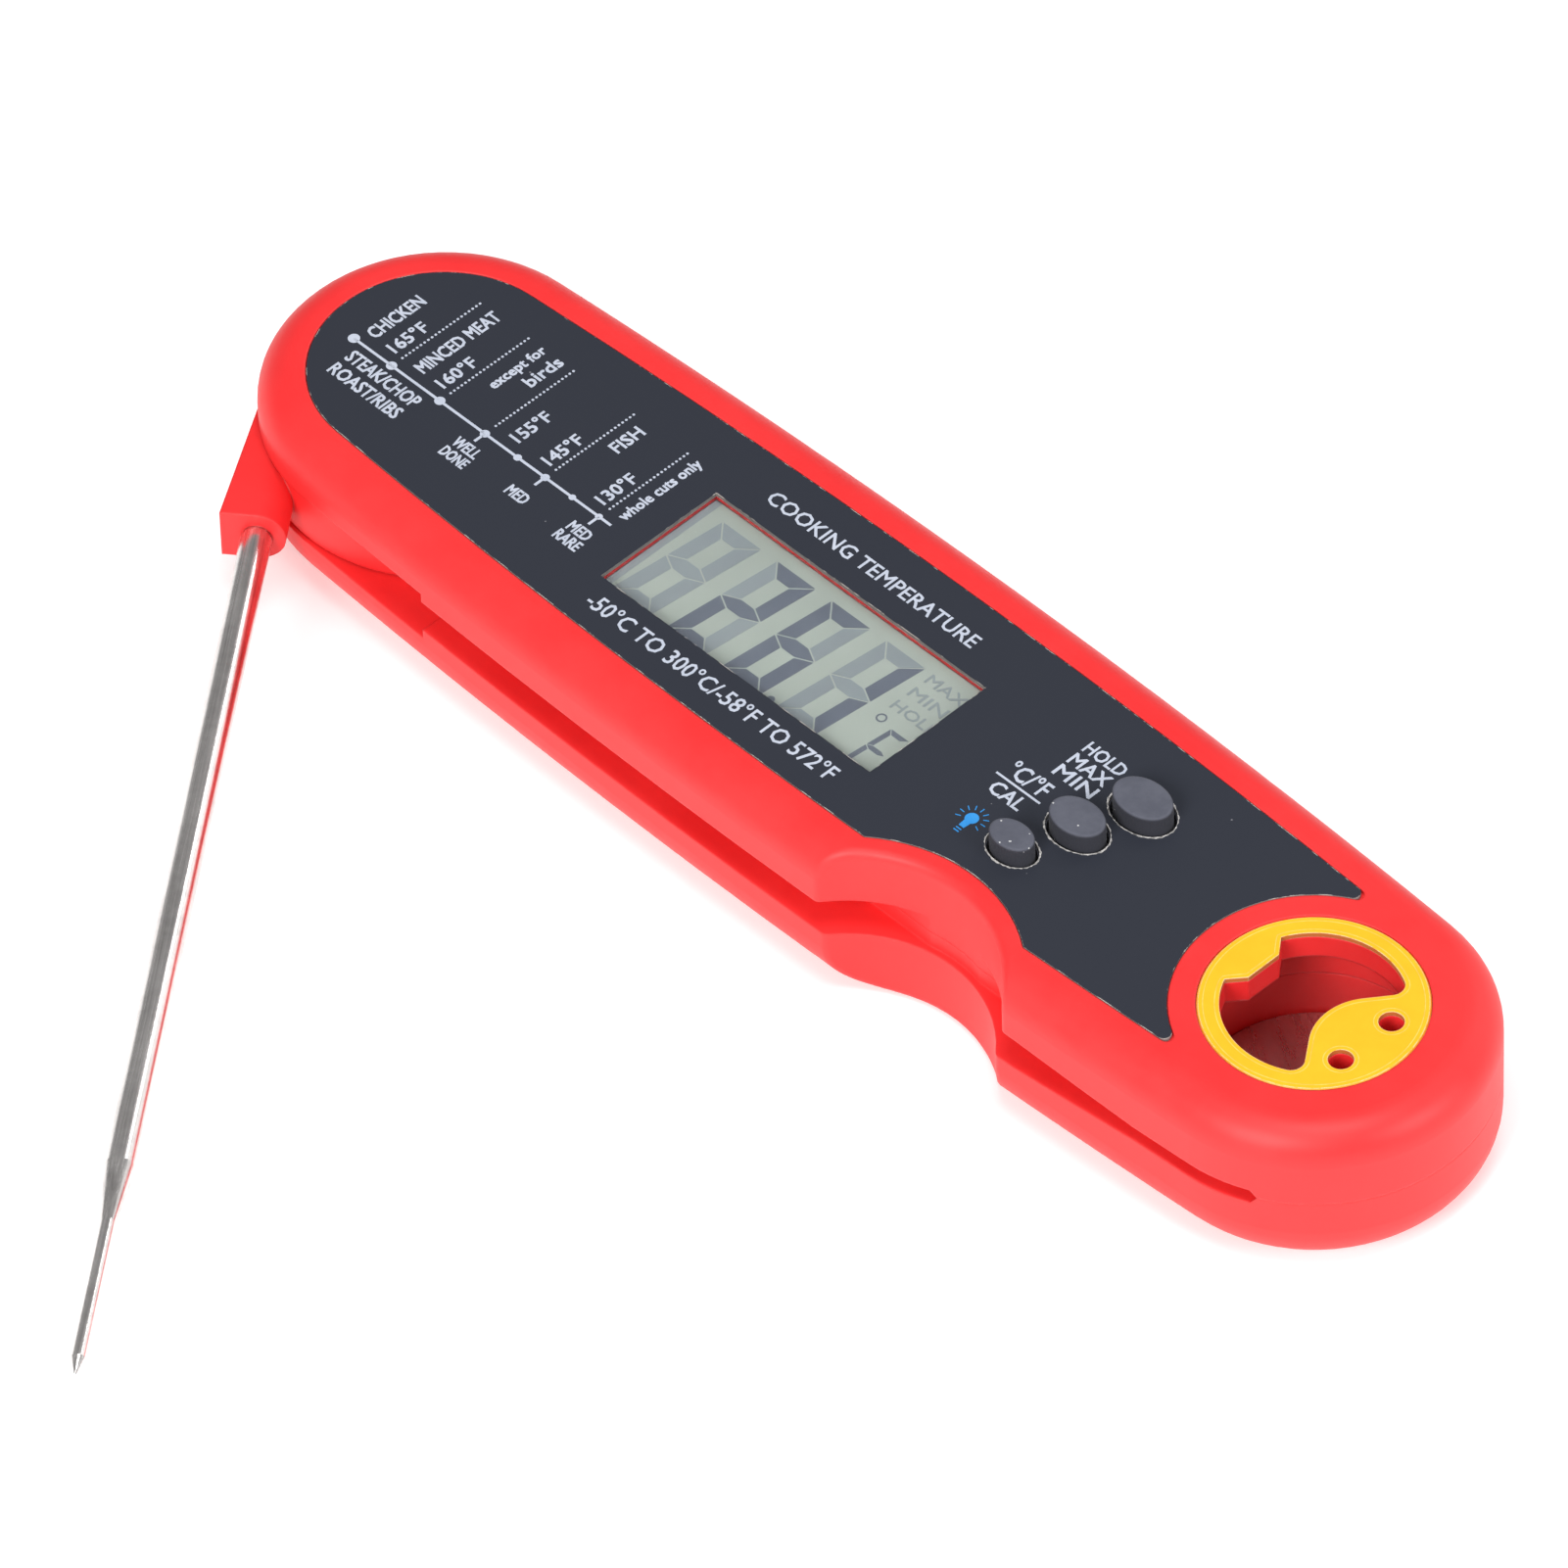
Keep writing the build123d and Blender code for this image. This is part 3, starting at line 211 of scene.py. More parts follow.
def makeSpecks():
    # dust: a speck where the cell distance is under Size and the cell's own random value is under Share
    group, inside, outside = newGroup(
        "dustSpecks",
        [("Vector", "Vector", None), ("Scale", "Float", 900.0), ("Size", "Float", 0.16),
         ("Share", "Float", 0.12)],
        [("Mask", "Float")])
    cells = add(group, "TexVoronoi", Vector=inside.outputs["Vector"], Scale=inside.outputs["Scale"])
    chance = add(group, "SeparateColor", Color=cells.outputs["Color"])
    near = calc(group, "LESS_THAN", cells.outputs["Distance"], inside.outputs["Size"])
    picked = calc(group, "LESS_THAN", chance.outputs[0], inside.outputs["Share"])
    group.links.new(calc(group, "MULTIPLY", near, picked), outside.inputs["Mask"])
    return group


def makeEdges():
    # softened normal, and a mask of 1 - softened . true, spread from Start..End to 0..1
    group, inside, outside = newGroup(
        "softEdges", [("Radius", "Float", 0.3 * mm), ("Start", "Float", 0.02), ("End", "Float", 0.2)],
        [("Normal", "Vector"), ("Mask", "Float")])
    softened = add(group, "Bevel", samples=6, Radius=inside.outputs["Radius"])
    surface = group.nodes.new("ShaderNodeNewGeometry")
    dot = group.nodes.new("ShaderNodeVectorMath")
    dot.operation = "DOT_PRODUCT"
    group.links.new(softened.outputs[0], dot.inputs[0])
    group.links.new(surface.outputs["Normal"], dot.inputs[1])
    bent = calc(group, "SUBTRACT", 1.0, dot.outputs["Value"])
    mask = spread(group, bent, inside.outputs["Start"], inside.outputs["End"])
    group.links.new(softened.outputs[0], outside.inputs["Normal"])
    group.links.new(mask, outside.inputs["Mask"])
    return group


def makeStreaks():
    # drawn or brushed metal: noise read at place times Stretch, as a height and as a tone mask
    group, inside, outside = newGroup(
        "metalStreaks", [("Vector", "Vector", None), ("Stretch", "Vector", (40, 4000, 4000))],
        [("Height", "Float"), ("Mask", "Float")])
    scaled = group.nodes.new("ShaderNodeVectorMath")
    scaled.operation = "MULTIPLY"
    group.links.new(inside.outputs["Vector"], scaled.inputs[0])
    group.links.new(inside.outputs["Stretch"], scaled.inputs[1])
    noise = add(group, "TexNoise", Vector=scaled.outputs[0], Scale=1.0, Detail=5.0, Roughness=0.7)
    group.links.new(noise.outputs[0], outside.inputs["Height"])
    group.links.new(spread(group, noise.outputs[0], 0.35, 0.65), outside.inputs["Mask"])
    return group


grain = makeGrain()
smudges = makeSmudges()
specks = makeSpecks()
softEdges = makeEdges()
streaks = makeStreaks()


def newMaterial(name, **sockets):
    material = bpy.data.materials.new(name)
    material.use_nodes = True
    tree = material.node_tree
    shader = tree.nodes["Principled BSDF"]
    for key, value in sockets.items():
        shader.inputs[key.replace("_", " ")].default_value = value
    place = tree.nodes.new("ShaderNodeTexCoord").outputs["Object"]
    return material, tree, shader, place


def bump(tree, height, strength, distance, normal=None):
    node = add(tree, "Bump", Strength=strength, Distance=distance, Height=height)
    if normal is not None:
        tree.links.new(normal, node.inputs["Normal"])
    return node.outputs[0]


# the finishes

redFinish = {
    "deep": linear(226, 40, 42), "light": linear(233, 47, 48), "rubbed": linear(240, 96, 92),
    "roughness": (0.44, 0.52), "grainScale": 2600.0, "grainDepth": 0.006 * mm, "edgeRadius": 0.4 * mm,
    "edgeSpan": (0.05, 0.6), "rubShare": 0.3, "driftScale": 45.0, "glow": (1.6 * mm, 0.3 * mm, 0.3 * mm),
}


def makeRed():
    # satin moulded plastic: slight colour drift, rubbed paler edges, fine grain
    material, tree, shader, place = newMaterial("redPlastic", Specular_IOR_Level=0.4, Subsurface_Weight=0.04,
                                                Subsurface_Radius=redFinish["glow"])
    marks = useGroup(tree, smudges, Vector=place, Scale=redFinish["driftScale"])
    edges = useGroup(tree, softEdges, Radius=redFinish["edgeRadius"], Start=redFinish["edgeSpan"][0],
                     End=redFinish["edgeSpan"][1])
    texture = useGroup(tree, grain, Vector=place, Scale=redFinish["grainScale"])
    body = mixColour(tree, marks.outputs["Mask"], redFinish["deep"], redFinish["light"])
    rubbed = calc(tree, "MULTIPLY", edges.outputs["Mask"], redFinish["rubShare"])
    tree.links.new(mixColour(tree, rubbed, body, redFinish["rubbed"]), shader.inputs["Base Color"])
    tree.links.new(spread(tree, marks.outputs["Mask"], 0, 1, *redFinish["roughness"]),
                   shader.inputs["Roughness"])
    tree.links.new(bump(tree, texture.outputs["Height"], 0.5, redFinish["grainDepth"], edges.outputs["Normal"]),
                   shader.inputs["Normal"])
    return material


labelFinish = {
    "sheet": linear(43, 46, 55), "cutEdge": linear(150, 147, 144), "chip": linear(206, 198, 190),
    "lint": linear(150, 150, 156), "roughness": (0.42, 0.46), "grainScale": 1800.0, "grainDepth": 0.004 * mm,
    "wallSpan": (0.9, 0.5),         # how far up the surface faces where the cut wall's tone starts and is full
    "chipWidth": 0.13 * mm, "chipScale": 420.0, "chipSpan": (0.52, 0.6), "chipEdge": (0.004, 0.05),
    "lintScale": 420.0, "lintSize": 0.045, "lintShare": 0.12, "lintStrength": 0.5, "smudgeScale": 35.0,
}


def makeLabelSheet():
    # printed plastic sheet: dark face with faint lint, pale and chipped where it is cut
    material, tree, shader, place = newMaterial("labelSheet", Specular_IOR_Level=0.22)
    cut = spread(tree, upward(tree), *labelFinish["wallSpan"])
    edges = useGroup(tree, softEdges, Radius=labelFinish["chipWidth"], Start=labelFinish["chipEdge"][0],
                     End=labelFinish["chipEdge"][1])
    flakes = add(tree, "TexNoise", Vector=place, Scale=labelFinish["chipScale"], Detail=4.0, Roughness=0.7)
    flaked = spread(tree, flakes.outputs[0], *labelFinish["chipSpan"])
    chipped = calc(tree, "MULTIPLY", edges.outputs["Mask"], flaked)
    lint = useGroup(tree, specks, Vector=place, Scale=labelFinish["lintScale"], Size=labelFinish["lintSize"],
                    Share=labelFinish["lintShare"])
    marks = useGroup(tree, smudges, Vector=place, Scale=labelFinish["smudgeScale"])
    texture = useGroup(tree, grain, Vector=place, Scale=labelFinish["grainScale"])
    linted = calc(tree, "MULTIPLY", lint.outputs["Mask"], labelFinish["lintStrength"])
    face = mixColour(tree, linted, labelFinish["sheet"], labelFinish["lint"])
    side = mixColour(tree, cut, face, labelFinish["cutEdge"])
    tree.links.new(mixColour(tree, chipped, side, labelFinish["chip"]), shader.inputs["Base Color"])
    tree.links.new(spread(tree, marks.outputs["Mask"], 0, 1, *labelFinish["roughness"]),
                   shader.inputs["Roughness"])
    tree.links.new(bump(tree, texture.outputs["Height"], 0.3, labelFinish["grainDepth"]),
                   shader.inputs["Normal"])
    return material


def makePlain(name, first, second, scale, roughness, depth=0.004, **sockets):
    # a finish of two close tones in soft patches, with grain thirty times as fine; depth in millimetres
    material, tree, shader, place = newMaterial(name, **sockets)
    marks = useGroup(tree, smudges, Vector=place, Scale=scale)
    texture = useGroup(tree, grain, Vector=place, Scale=scale * 30)
    tree.links.new(mixColour(tree, marks.outputs["Mask"], first, second), shader.inputs["Base Color"])
    tree.links.new(spread(tree, marks.outputs["Mask"], 0, 1, *roughness), shader.inputs["Roughness"])
    tree.links.new(bump(tree, texture.outputs["Height"], 0.4, depth * mm), shader.inputs["Normal"])
    return material


yellowFinish = {
    "paint": linear(248, 183, 34), "deep": linear(245, 176, 28), "bare": linear(236, 206, 160),
    "wall": linear(196, 112, 56), "edgeRadius": 0.16 * mm, "edgeSpan": (0.004, 0.05), "wallSpan": (0.85, 0.4),
    "chipScale": 900.0, "chipSpan": (0.1, 0.5), "peelScale": 1500.0, "peelDepth": 0.006 * mm,
    "toneScale": 120.0, "roughness": (0.4, 0.45),
}


def makeYellow():
    # sprayed punched steel: orange-peel paint, a pale line where each edge was cut, brown walls under it
    material, tree, shader, place = newMaterial("yellowPaint", Specular_IOR_Level=0.35)
    cut = spread(tree, upward(tree), *yellowFinish["wallSpan"])
    edges = useGroup(tree, softEdges, Radius=yellowFinish["edgeRadius"], Start=yellowFinish["edgeSpan"][0],
                     End=yellowFinish["edgeSpan"][1])
    chips = useGroup(tree, smudges, Vector=place, Scale=yellowFinish["chipScale"])
    chipped = spread(tree, chips.outputs["Mask"], *yellowFinish["chipSpan"])
    worn = calc(tree, "MULTIPLY", edges.outputs["Mask"], chipped, clamp=True)
    peel = useGroup(tree, grain, Vector=place, Scale=yellowFinish["peelScale"])
    tone = useGroup(tree, smudges, Vector=place, Scale=yellowFinish["toneScale"])
    paint = mixColour(tree, tone.outputs["Mask"], yellowFinish["deep"], yellowFinish["paint"])
    walls = mixColour(tree, cut, paint, yellowFinish["wall"])
    tree.links.new(mixColour(tree, worn, walls, yellowFinish["bare"]), shader.inputs["Base Color"])
    tree.links.new(spread(tree, worn, 0, 1, *yellowFinish["roughness"]), shader.inputs["Roughness"])
    tree.links.new(bump(tree, peel.outputs["Height"], 0.5, yellowFinish["peelDepth"], edges.outputs["Normal"]),
                   shader.inputs["Normal"])
    return material


def makeSteel(name, dark, light, turn, stretch, roughness, depth, **sockets):
    # drawn or brushed metal: streaks along an axis turned about Z, in degrees; depth in millimetres;
    # tone = 0.6 * streaks + 0.4 * smudges
    material, tree, shader, place = newMaterial(name, Metallic=1.0, **sockets)
    aligned = add(tree, "Mapping", vector_type="POINT", Vector=place, Rotation=(0, 0, math.radians(turn)))
    lines = useGroup(tree, streaks, Vector=aligned.outputs[0], Stretch=stretch)
    marks = useGroup(tree, smudges, Vector=place, Scale=150.0)
    tone = calc(tree, "ADD", calc(tree, "MULTIPLY", lines.outputs["Mask"], 0.6),
                calc(tree, "MULTIPLY", marks.outputs["Mask"], 0.4))
    tree.links.new(mixColour(tree, tone, dark, light), shader.inputs["Base Color"])
    tree.links.new(spread(tree, lines.outputs["Mask"], 0, 1, *roughness), shader.inputs["Roughness"])
    tree.links.new(bump(tree, lines.outputs["Height"], 0.5, depth * mm), shader.inputs["Normal"])
    return material


rubberFinish = {
    # side is the painted shade tone of the button walls
    "body": linear(78, 80, 91), "pale": linear(88, 90, 101), "side": linear(52, 53, 61),
    "dust": linear(214, 214, 214), "dustScale": 1500.0, "dustSize": 0.15, "dustShare": 0.17,
    "dustStrength": 0.75, "patchScale": 260.0, "grainScale": 5200.0, "grainDepth": 0.012 * mm,
    "edgeRadius": 0.1 * mm, "edgeSpan": (0.02, 0.4), "rubberShadeSpan": (0.3, 0.9), "roughness": (0.62, 0.78),
}


def makeRubber():
    # matt silicone: random tone patches on top, painted shade darkening the walls, with lint and specks
    material, tree, shader, place = newMaterial("buttonRubber", Specular_IOR_Level=0.2, Sheen_Weight=0.06)
    marks = useGroup(tree, smudges, Vector=place, Scale=rubberFinish["patchScale"])
    dust = useGroup(tree, specks, Vector=place, Scale=rubberFinish["dustScale"], Size=rubberFinish["dustSize"],
                    Share=rubberFinish["dustShare"])
    texture = useGroup(tree, grain, Vector=place, Scale=rubberFinish["grainScale"])
    edges = useGroup(tree, softEdges, Radius=rubberFinish["edgeRadius"], Start=rubberFinish["edgeSpan"][0],
                     End=rubberFinish["edgeSpan"][1])
    top = mixColour(tree, marks.outputs["Mask"], rubberFinish["body"], rubberFinish["pale"])
    # painted shade: faces turning from up towards the walls fade into the dark side tone
    body = mixColour(tree, spread(tree, upward(tree), *rubberFinish["rubberShadeSpan"]), rubberFinish["side"], top)
    dusted = calc(tree, "MULTIPLY", dust.outputs["Mask"], rubberFinish["dustStrength"])
    tree.links.new(mixColour(tree, dusted, body, rubberFinish["dust"]), shader.inputs["Base Color"])
    tree.links.new(spread(tree, marks.outputs["Mask"], 0, 1, *rubberFinish["roughness"]),
                   shader.inputs["Roughness"])
    tree.links.new(bump(tree, texture.outputs["Height"], 0.6, rubberFinish["grainDepth"],
                        edges.outputs["Normal"]), shader.inputs["Normal"])
    return material


windowFinish = {
    # side is a dark tint for the sheet's walls, painted shade
    "clear": (0.95, 0.965, 0.955, 1), "side": (0.3, 0.27, 0.27, 1), "windowShadeSpan": (0.9, 0.5),
    "roughness": (0.0, 0.02), "smudgeScale": 90.0,
}


def makeWindow():
    # clear sheet: a gloss coat over a body that hardly bends light, and shadow rays pass to the display; its
    # walls carry a dark tint as painted shade
    material, tree, shader, place = newMaterial("windowClear", Transmission_Weight=1.0, IOR=1.02,
                                                Coat_Weight=0.7, Coat_Roughness=0.04)
    # painted shade: the sheet's walls take the dark side tint
    paintedWallShade = spread(tree, calc(tree, "ABSOLUTE", upward(tree)), *windowFinish["windowShadeSpan"])
    tree.links.new(mixColour(tree, paintedWallShade, windowFinish["clear"], windowFinish["side"]),
                   shader.inputs["Base Color"])
    marks = useGroup(tree, smudges, Vector=place, Scale=windowFinish["smudgeScale"])
    tree.links.new(spread(tree, marks.outputs["Mask"], 0, 1, *windowFinish["roughness"]),
                   shader.inputs["Roughness"])
    clear = tree.nodes.new("ShaderNodeBsdfTransparent")
    mix = tree.nodes.new("ShaderNodeMixShader")
    tree.links.new(tree.nodes.new("ShaderNodeLightPath").outputs["Is Shadow Ray"], mix.inputs[0])
    tree.links.new(shader.outputs[0], mix.inputs[1])
    tree.links.new(clear.outputs[0], mix.inputs[2])
    tree.links.new(mix.outputs[0], tree.nodes["Material Output"].inputs["Surface"])
    return material


probeTurn = 52.1        # degrees that bring the probe's direction onto X
finishes = {
    "red": makeRed(),
    "sheet": makeLabelSheet(),
    "window": makeWindow(),
    "yellow": makeYellow(),
    "rubber": makeRubber(),
    "display": makePlain("displayGlass", linear(118, 124, 119), linear(125, 131, 126), 30.0, (0.35, 0.4),
                         0.002, Specular_IOR_Level=0.2),
    "segment": makePlain("displaySegment", linear(70, 75, 86), linear(77, 82, 92), 60.0, (0.35, 0.4),
                         0.002, Specular_IOR_Level=0.2),
    "ghost": makePlain("displayGhost", linear(98, 104, 108), linear(103, 109, 112), 60.0, (0.35, 0.4),
                       0.002, Specular_IOR_Level=0.2),
    "ink": makePlain("paleInk", linear(176, 183, 198), linear(188, 194, 208), 260.0, (0.45, 0.55), 0.003,
                     Specular_IOR_Level=0.3),
    "blueInk": makePlain("blueInk", linear(40, 134, 208), linear(56, 146, 216), 260.0, (0.45, 0.55), 0.003,
                         Specular_IOR_Level=0.3),
    "pressed": makePlain("pressedLine", linear(252, 205, 98), linear(236, 176, 62), 500.0, (0.4, 0.5), 0.003),
    "lip": makePlain("cutLip", linear(92, 90, 90), linear(224, 221, 218), 1800.0, (0.5, 0.6), 0.01),
    "magnet": makeSteel("wornNickel", (0.62, 0.58, 0.57, 1), (0.72, 0.68, 0.67, 1), 30.0, (150, 900, 900),
                        (0.26, 0.32), 0.0001),
    "probe": makeSteel("drawnSteel", (0.5, 0.475, 0.465, 1), (0.94, 0.91, 0.89, 1), probeTurn,
                       (30, 2200, 2200), (0.2, 0.3), 0.003),
    "screw": makeSteel("zincSteel", (0.36, 0.36, 0.37, 1), (0.62, 0.62, 0.63, 1), 0.0, (900, 900, 900),
                       (0.3, 0.45), 0.006),
    "contact": makeSteel("springSteel", (0.5, 0.49, 0.46, 1), (0.72, 0.7, 0.66, 1), 0.0, (200, 2500, 2500),
                         (0.25, 0.35), 0.004),
    "seal": makePlain("sealRubber", linear(44, 44, 46), linear(56, 56, 58), 260.0, (0.6, 0.75), 0.01),
    "white": makePlain("whitePlastic", linear(228, 228, 224), linear(238, 238, 235), 120.0, (0.35, 0.5), 0.006),
    "board": makePlain("boardMask", linear(20, 96, 52), linear(30, 112, 62), 150.0, (0.25, 0.4), 0.006),
    "chip": makePlain("blackEpoxy", linear(26, 26, 28), linear(36, 36, 38), 200.0, (0.4, 0.6), 0.01),
    "sheath": makePlain("leadSheath", linear(214, 214, 208), linear(226, 226, 221), 200.0, (0.3, 0.45), 0.006),
    "tube": makePlain("reedTube", linear(170, 196, 186), linear(186, 208, 198), 200.0, (0.08, 0.15), 0.002,
                      Transmission_Weight=0.7),
}
nodeFinishes = {
    "red": ("front_cover", "back_cover", "probe_arm", "battery_door"),
    "sheet": ("face_label",),
    "window": ("display_window",),
    "yellow": ("opener_plate",),
    "rubber": ("button_light", "button_units", "button_hold", "keypad_web"),
    "display": ("lcd_panel",),
    "magnet": ("opener_magnet", "back_magnet", "fold_magnet"),
    "probe": ("probe_tube",),
    "screw": ("case_screws", "board_screws", "hinge_screw", "battery_cell"),
    "contact": ("battery_contact_minus", "battery_contact_plus"),
    "seal": ("case_gasket", "hinge_seal", "battery_door_seal", "zebra_strip"),
    "white": ("lcd_frame", "backlight_diffuser", "backlight_led", "hinge_washers"),
    "board": ("circuit_board",),
    "chip": ("main_chip", "tact_switches", "sensor_bead", "plunger_light", "plunger_units", "plunger_hold"),
    "sheath": ("probe_lead", "board_lead"),
    "tube": ("reed_switch",),
}
for finish, names in nodeFinishes.items():
    for name in names:
        nodes[name].data.materials.clear()
        nodes[name].data.materials.append(finishes[finish])
print("finishes made:", len(finishes))


# flat shapes printed on the label or lit in the display; all sizes in millimetres

def prism(outline, low, high):
    # a flat outline, walked anticlockwise, between two heights: two caps and a wall
    outline = np.asarray(outline, float)
    count = len(outline)
    corners = np.concatenate([np.c_[outline, np.full(count, low)], np.c_[outline, np.full(count, high)]])
    ring = np.arange(count)
    after = (ring + 1) % count
    walls = np.c_[ring, after, after + count, ring + count].tolist()
    return corners, [ring[::-1].tolist(), (ring + count).tolist()] + walls


def ringFaces(count):
    # quads of a closed grid: count sections of four corners each, joined round to the first
    i, j = np.meshgrid(np.arange(count), np.arange(4), indexing="ij")
    nextI, nextJ = (i + 1) % count, (j + 1) % 4
    return np.stack([i * 4 + j, nextI * 4 + j, nextI * 4 + nextJ, i * 4 + nextJ], -1).reshape(-1, 4)


def disc(x, y, radius, count=20):
    # corners at equal turns round a circle
    turn = np.linspace(0, 2 * math.pi, count, endpoint=False)
    return np.c_[x + radius * np.cos(turn), y + radius * np.sin(turn)]


def bar(x0, y0, x1, y1, width):
    # rectangle about the line from the first point to the second
    along = np.array([x1 - x0, y1 - y0])
    side = np.array([-along[1], along[0]]) / np.hypot(*along) * width / 2
    start, end = np.array([x0, y0]), np.array([x1, y1])
    return np.array([start - side, end - side, end + side, start + side])


def ringShape(x, y, inner, outer, low, high, count=28):
    # annulus with a square section, as a closed grid of four corners carried round a circle
    turn = np.linspace(0, 2 * math.pi, count, endpoint=False)[:, None]
    radius = np.array([inner, outer, outer, inner])[None, :]
    height = np.broadcast_to(np.array([low, low, high, high]), (count, 4))
    corners = np.stack([x + radius * np.cos(turn), y + radius * np.sin(turn), height], -1).reshape(-1, 3)
    return corners, ringFaces(count).tolist()


hair = 0.003            # millimetres between the tops of overlapping copies of a letter


def textShape(words, x0, x1, y0, y1, low, high, turned=False, heavy=0.0):
    # built-in letters, stretched to fill the box; turned text runs along +Y with its tops towards -X;
    # heavy letters are four copies moved by that much to the corners of a square, each a hair higher
    curve = bpy.data.curves.new("letters", "FONT")
    curve.body = words
    curve.extrude = 0.1
    curve.resolution_u = 2
    letters = bpy.data.objects.new("letters", curve)
    bpy.context.scene.collection.objects.link(letters)
    bpy.context.view_layer.update()
    flat = bpy.data.meshes.new_from_object(letters.evaluated_get(bpy.context.evaluated_depsgraph_get()))
    points = np.zeros(len(flat.vertices) * 3)
    flat.vertices.foreach_get("co", points)
    points = points.reshape(-1, 3)
    share = (points[:, :2] - points[:, :2].min(0)) / np.ptp(points[:, :2], axis=0)
    height = np.where(points[:, 2] > 0, high, low)
    faces = [list(p.vertices) for p in flat.polygons]
    bpy.data.objects.remove(letters)
    bpy.data.curves.remove(curve)
    bpy.data.meshes.remove(flat)
    x0, x1, y0, y1 = x0 + heavy, x1 - heavy, y0 + heavy, y1 - heavy
    if turned:
        placed = np.c_[x1 - share[:, 1] * (x1 - x0), y0 + share[:, 0] * (y1 - y0), height]
    else:
        placed = np.c_[x0 + share[:, 0] * (x1 - x0), y0 + share[:, 1] * (y1 - y0), height]
    corners = [(0, 0)] if heavy == 0 else [(-1, -1), (1, -1), (1, 1), (-1, 1)]
    return [(placed + np.array([heavy * x, heavy * y, hair * k]), faces) for k, (x, y) in enumerate(corners)]


def makePiece(name, shapes, finish, body):
    # joins shapes given in millimetres into one mesh in the row frame
    corners, faces, start = [], [], 0
    for points, shapeFaces in shapes:
        corners.append(np.asarray(points) * mm)
        faces += [[start + k for k in face] for face in shapeFaces]
        start += len(points)
    mesh = bpy.data.meshes.new(name)
    mesh.from_pydata(np.concatenate(corners), [], faces)
    mesh.validate()
    mesh.update()
    piece = bpy.data.objects.new(name, mesh)
    bpy.context.scene.collection.objects.link(piece)
    mesh.materials.append(finishes[finish])
    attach(piece, body)
    return piece


bold, medium, thin = 0.045, 0.035, 0.025      # stroke weights, in millimetres each way
labelPrint = {
    # words: left, right, bottom, top on the label, turned or not, how far its copies move for heavy strokes
    "low": labelTop / mm - 0.01, "high": labelTop / mm + 0.03,
    "texts": [
        ("CHICKEN", -73.95, -72.2, -1.9, 5.6, True, bold),
        ("165°F", -70.9, -69.15, -1.9, 3.2, True, bold),
        ("MINCED MEAT", -66.6, -64.85, -1.9, 9.55, True, bold),
        ("160°F", -63.5, -61.75, -1.9, 3.2, True, bold),
        ("except for", -59.3, -57.55, 1.75, 9.5, True, bold),
        ("birds", -57.0, -55.35, 4.6, 9.5, True, bold),
        ("155°F", -52.15, -50.4, -1.9, 3.2, True, bold),
        ("145°F", -47.4, -45.65, -1.9, 3.2, True, bold),
        ("FISH", -43.6, -41.9, 4.3, 8.4, True, bold),
        ("130°F", -39.3, -37.55, -1.9, 3.2, True, bold),
        ("whole cuts only", -35.75, -33.95, -2.0, 9.4, True, bold),
        ("STEAK/CHOP", -72.6, -62.2, -6.25, -4.45, False, bold),
        ("ROAST/RIBS", -72.6, -62.4, -8.75, -6.95, False, bold),
        ("WELL", -55.6, -52.1, -6.95, -5.45, False, bold),
        ("DONE", -55.6, -52.0, -8.8, -7.3, False, bold),
        ("MED", -46.6, -43.75, -7.9, -6.4, False, bold),
        ("MED", -38.2, -35.25, -7.0, -5.5, False, bold),
        ("RARE", -38.4, -34.95, -8.8, -7.3, False, bold),
        ("COOKING TEMPERATURE", -26.25, 4.25, 10.3, 12.25, False, thin),
        ("-50°C TO 300°C/-58°F TO 572°F", -29.0, 7.15, -13.2, -10.95, False, thin),
        ("HOLD", 22.65, 28.15, 8.2, 9.95, False, medium),
        ("MAX", 22.65, 28.0, 6.0, 7.75, False, medium),
        ("MIN", 22.65, 28.15, 3.85, 5.6, False, medium),
        ("°C/°F", 19.15, 24.5, 0.45, 2.85, False, medium),
        ("CAL", 19.6, 24.1, -2.55, -0.65, False, medium),
    ],
    "scaleY": -3.42, "scaleStart": -73.95, "scaleEnd": -35.0, "scaleWidth": 0.32,
    "stops": [(-73.95, 0.66), (-68.2, 0.6), (-60.85, 0.6), (-54.0, 0.54), (-49.05, 0.46), (-44.9, 0.5),
              (-40.8, 0.4), (-36.8, 0.42)],       # place and radius of each dot on the scale
    "ticks": (-54.0, -44.9, -36.8), "tickEnd": -4.95,
    "leaders": (-68.2, -60.85, -54.0, -44.9, -36.8), "leaderStart": -1.85, "leaderEnd": 9.4,
    "leaderCount": 22, "leaderRadius": 0.15,
    "bar": (18.65, -0.05, 25.0, -0.05, 0.26),
    "stepUp": 0.004,        # the marks' tops are spread over this height, so that no two share a plane
}


def makePrint():
    low, high = labelPrint["low"], labelPrint["high"]
    shapes = [copy for words, x0, x1, y0, y1, turned, weight in labelPrint["texts"]
              for copy in textShape(words, x0, x1, y0, y1, low, high, turned, weight)]
    y = labelPrint["scaleY"]
    flats = [bar(labelPrint["scaleStart"], y, labelPrint["scaleEnd"], y, labelPrint["scaleWidth"])]
    flats += [disc(x, y, radius) for x, radius in labelPrint["stops"]]
    flats += [bar(x, labelPrint["tickEnd"], x, y, labelPrint["scaleWidth"]) for x in labelPrint["ticks"]]
    rows = np.linspace(labelPrint["leaderStart"], labelPrint["leaderEnd"], labelPrint["leaderCount"])
    flats += [disc(x, row, labelPrint["leaderRadius"], 10) for x in labelPrint["leaders"] for row in rows]
    flats.append(bar(*labelPrint["bar"]))
    steps = np.linspace(0, labelPrint["stepUp"], len(flats))
    shapes += [prism(flat, low, high + step) for flat, step in zip(flats, steps)]
    return makePiece("labelPrint", shapes, "ink", "case")


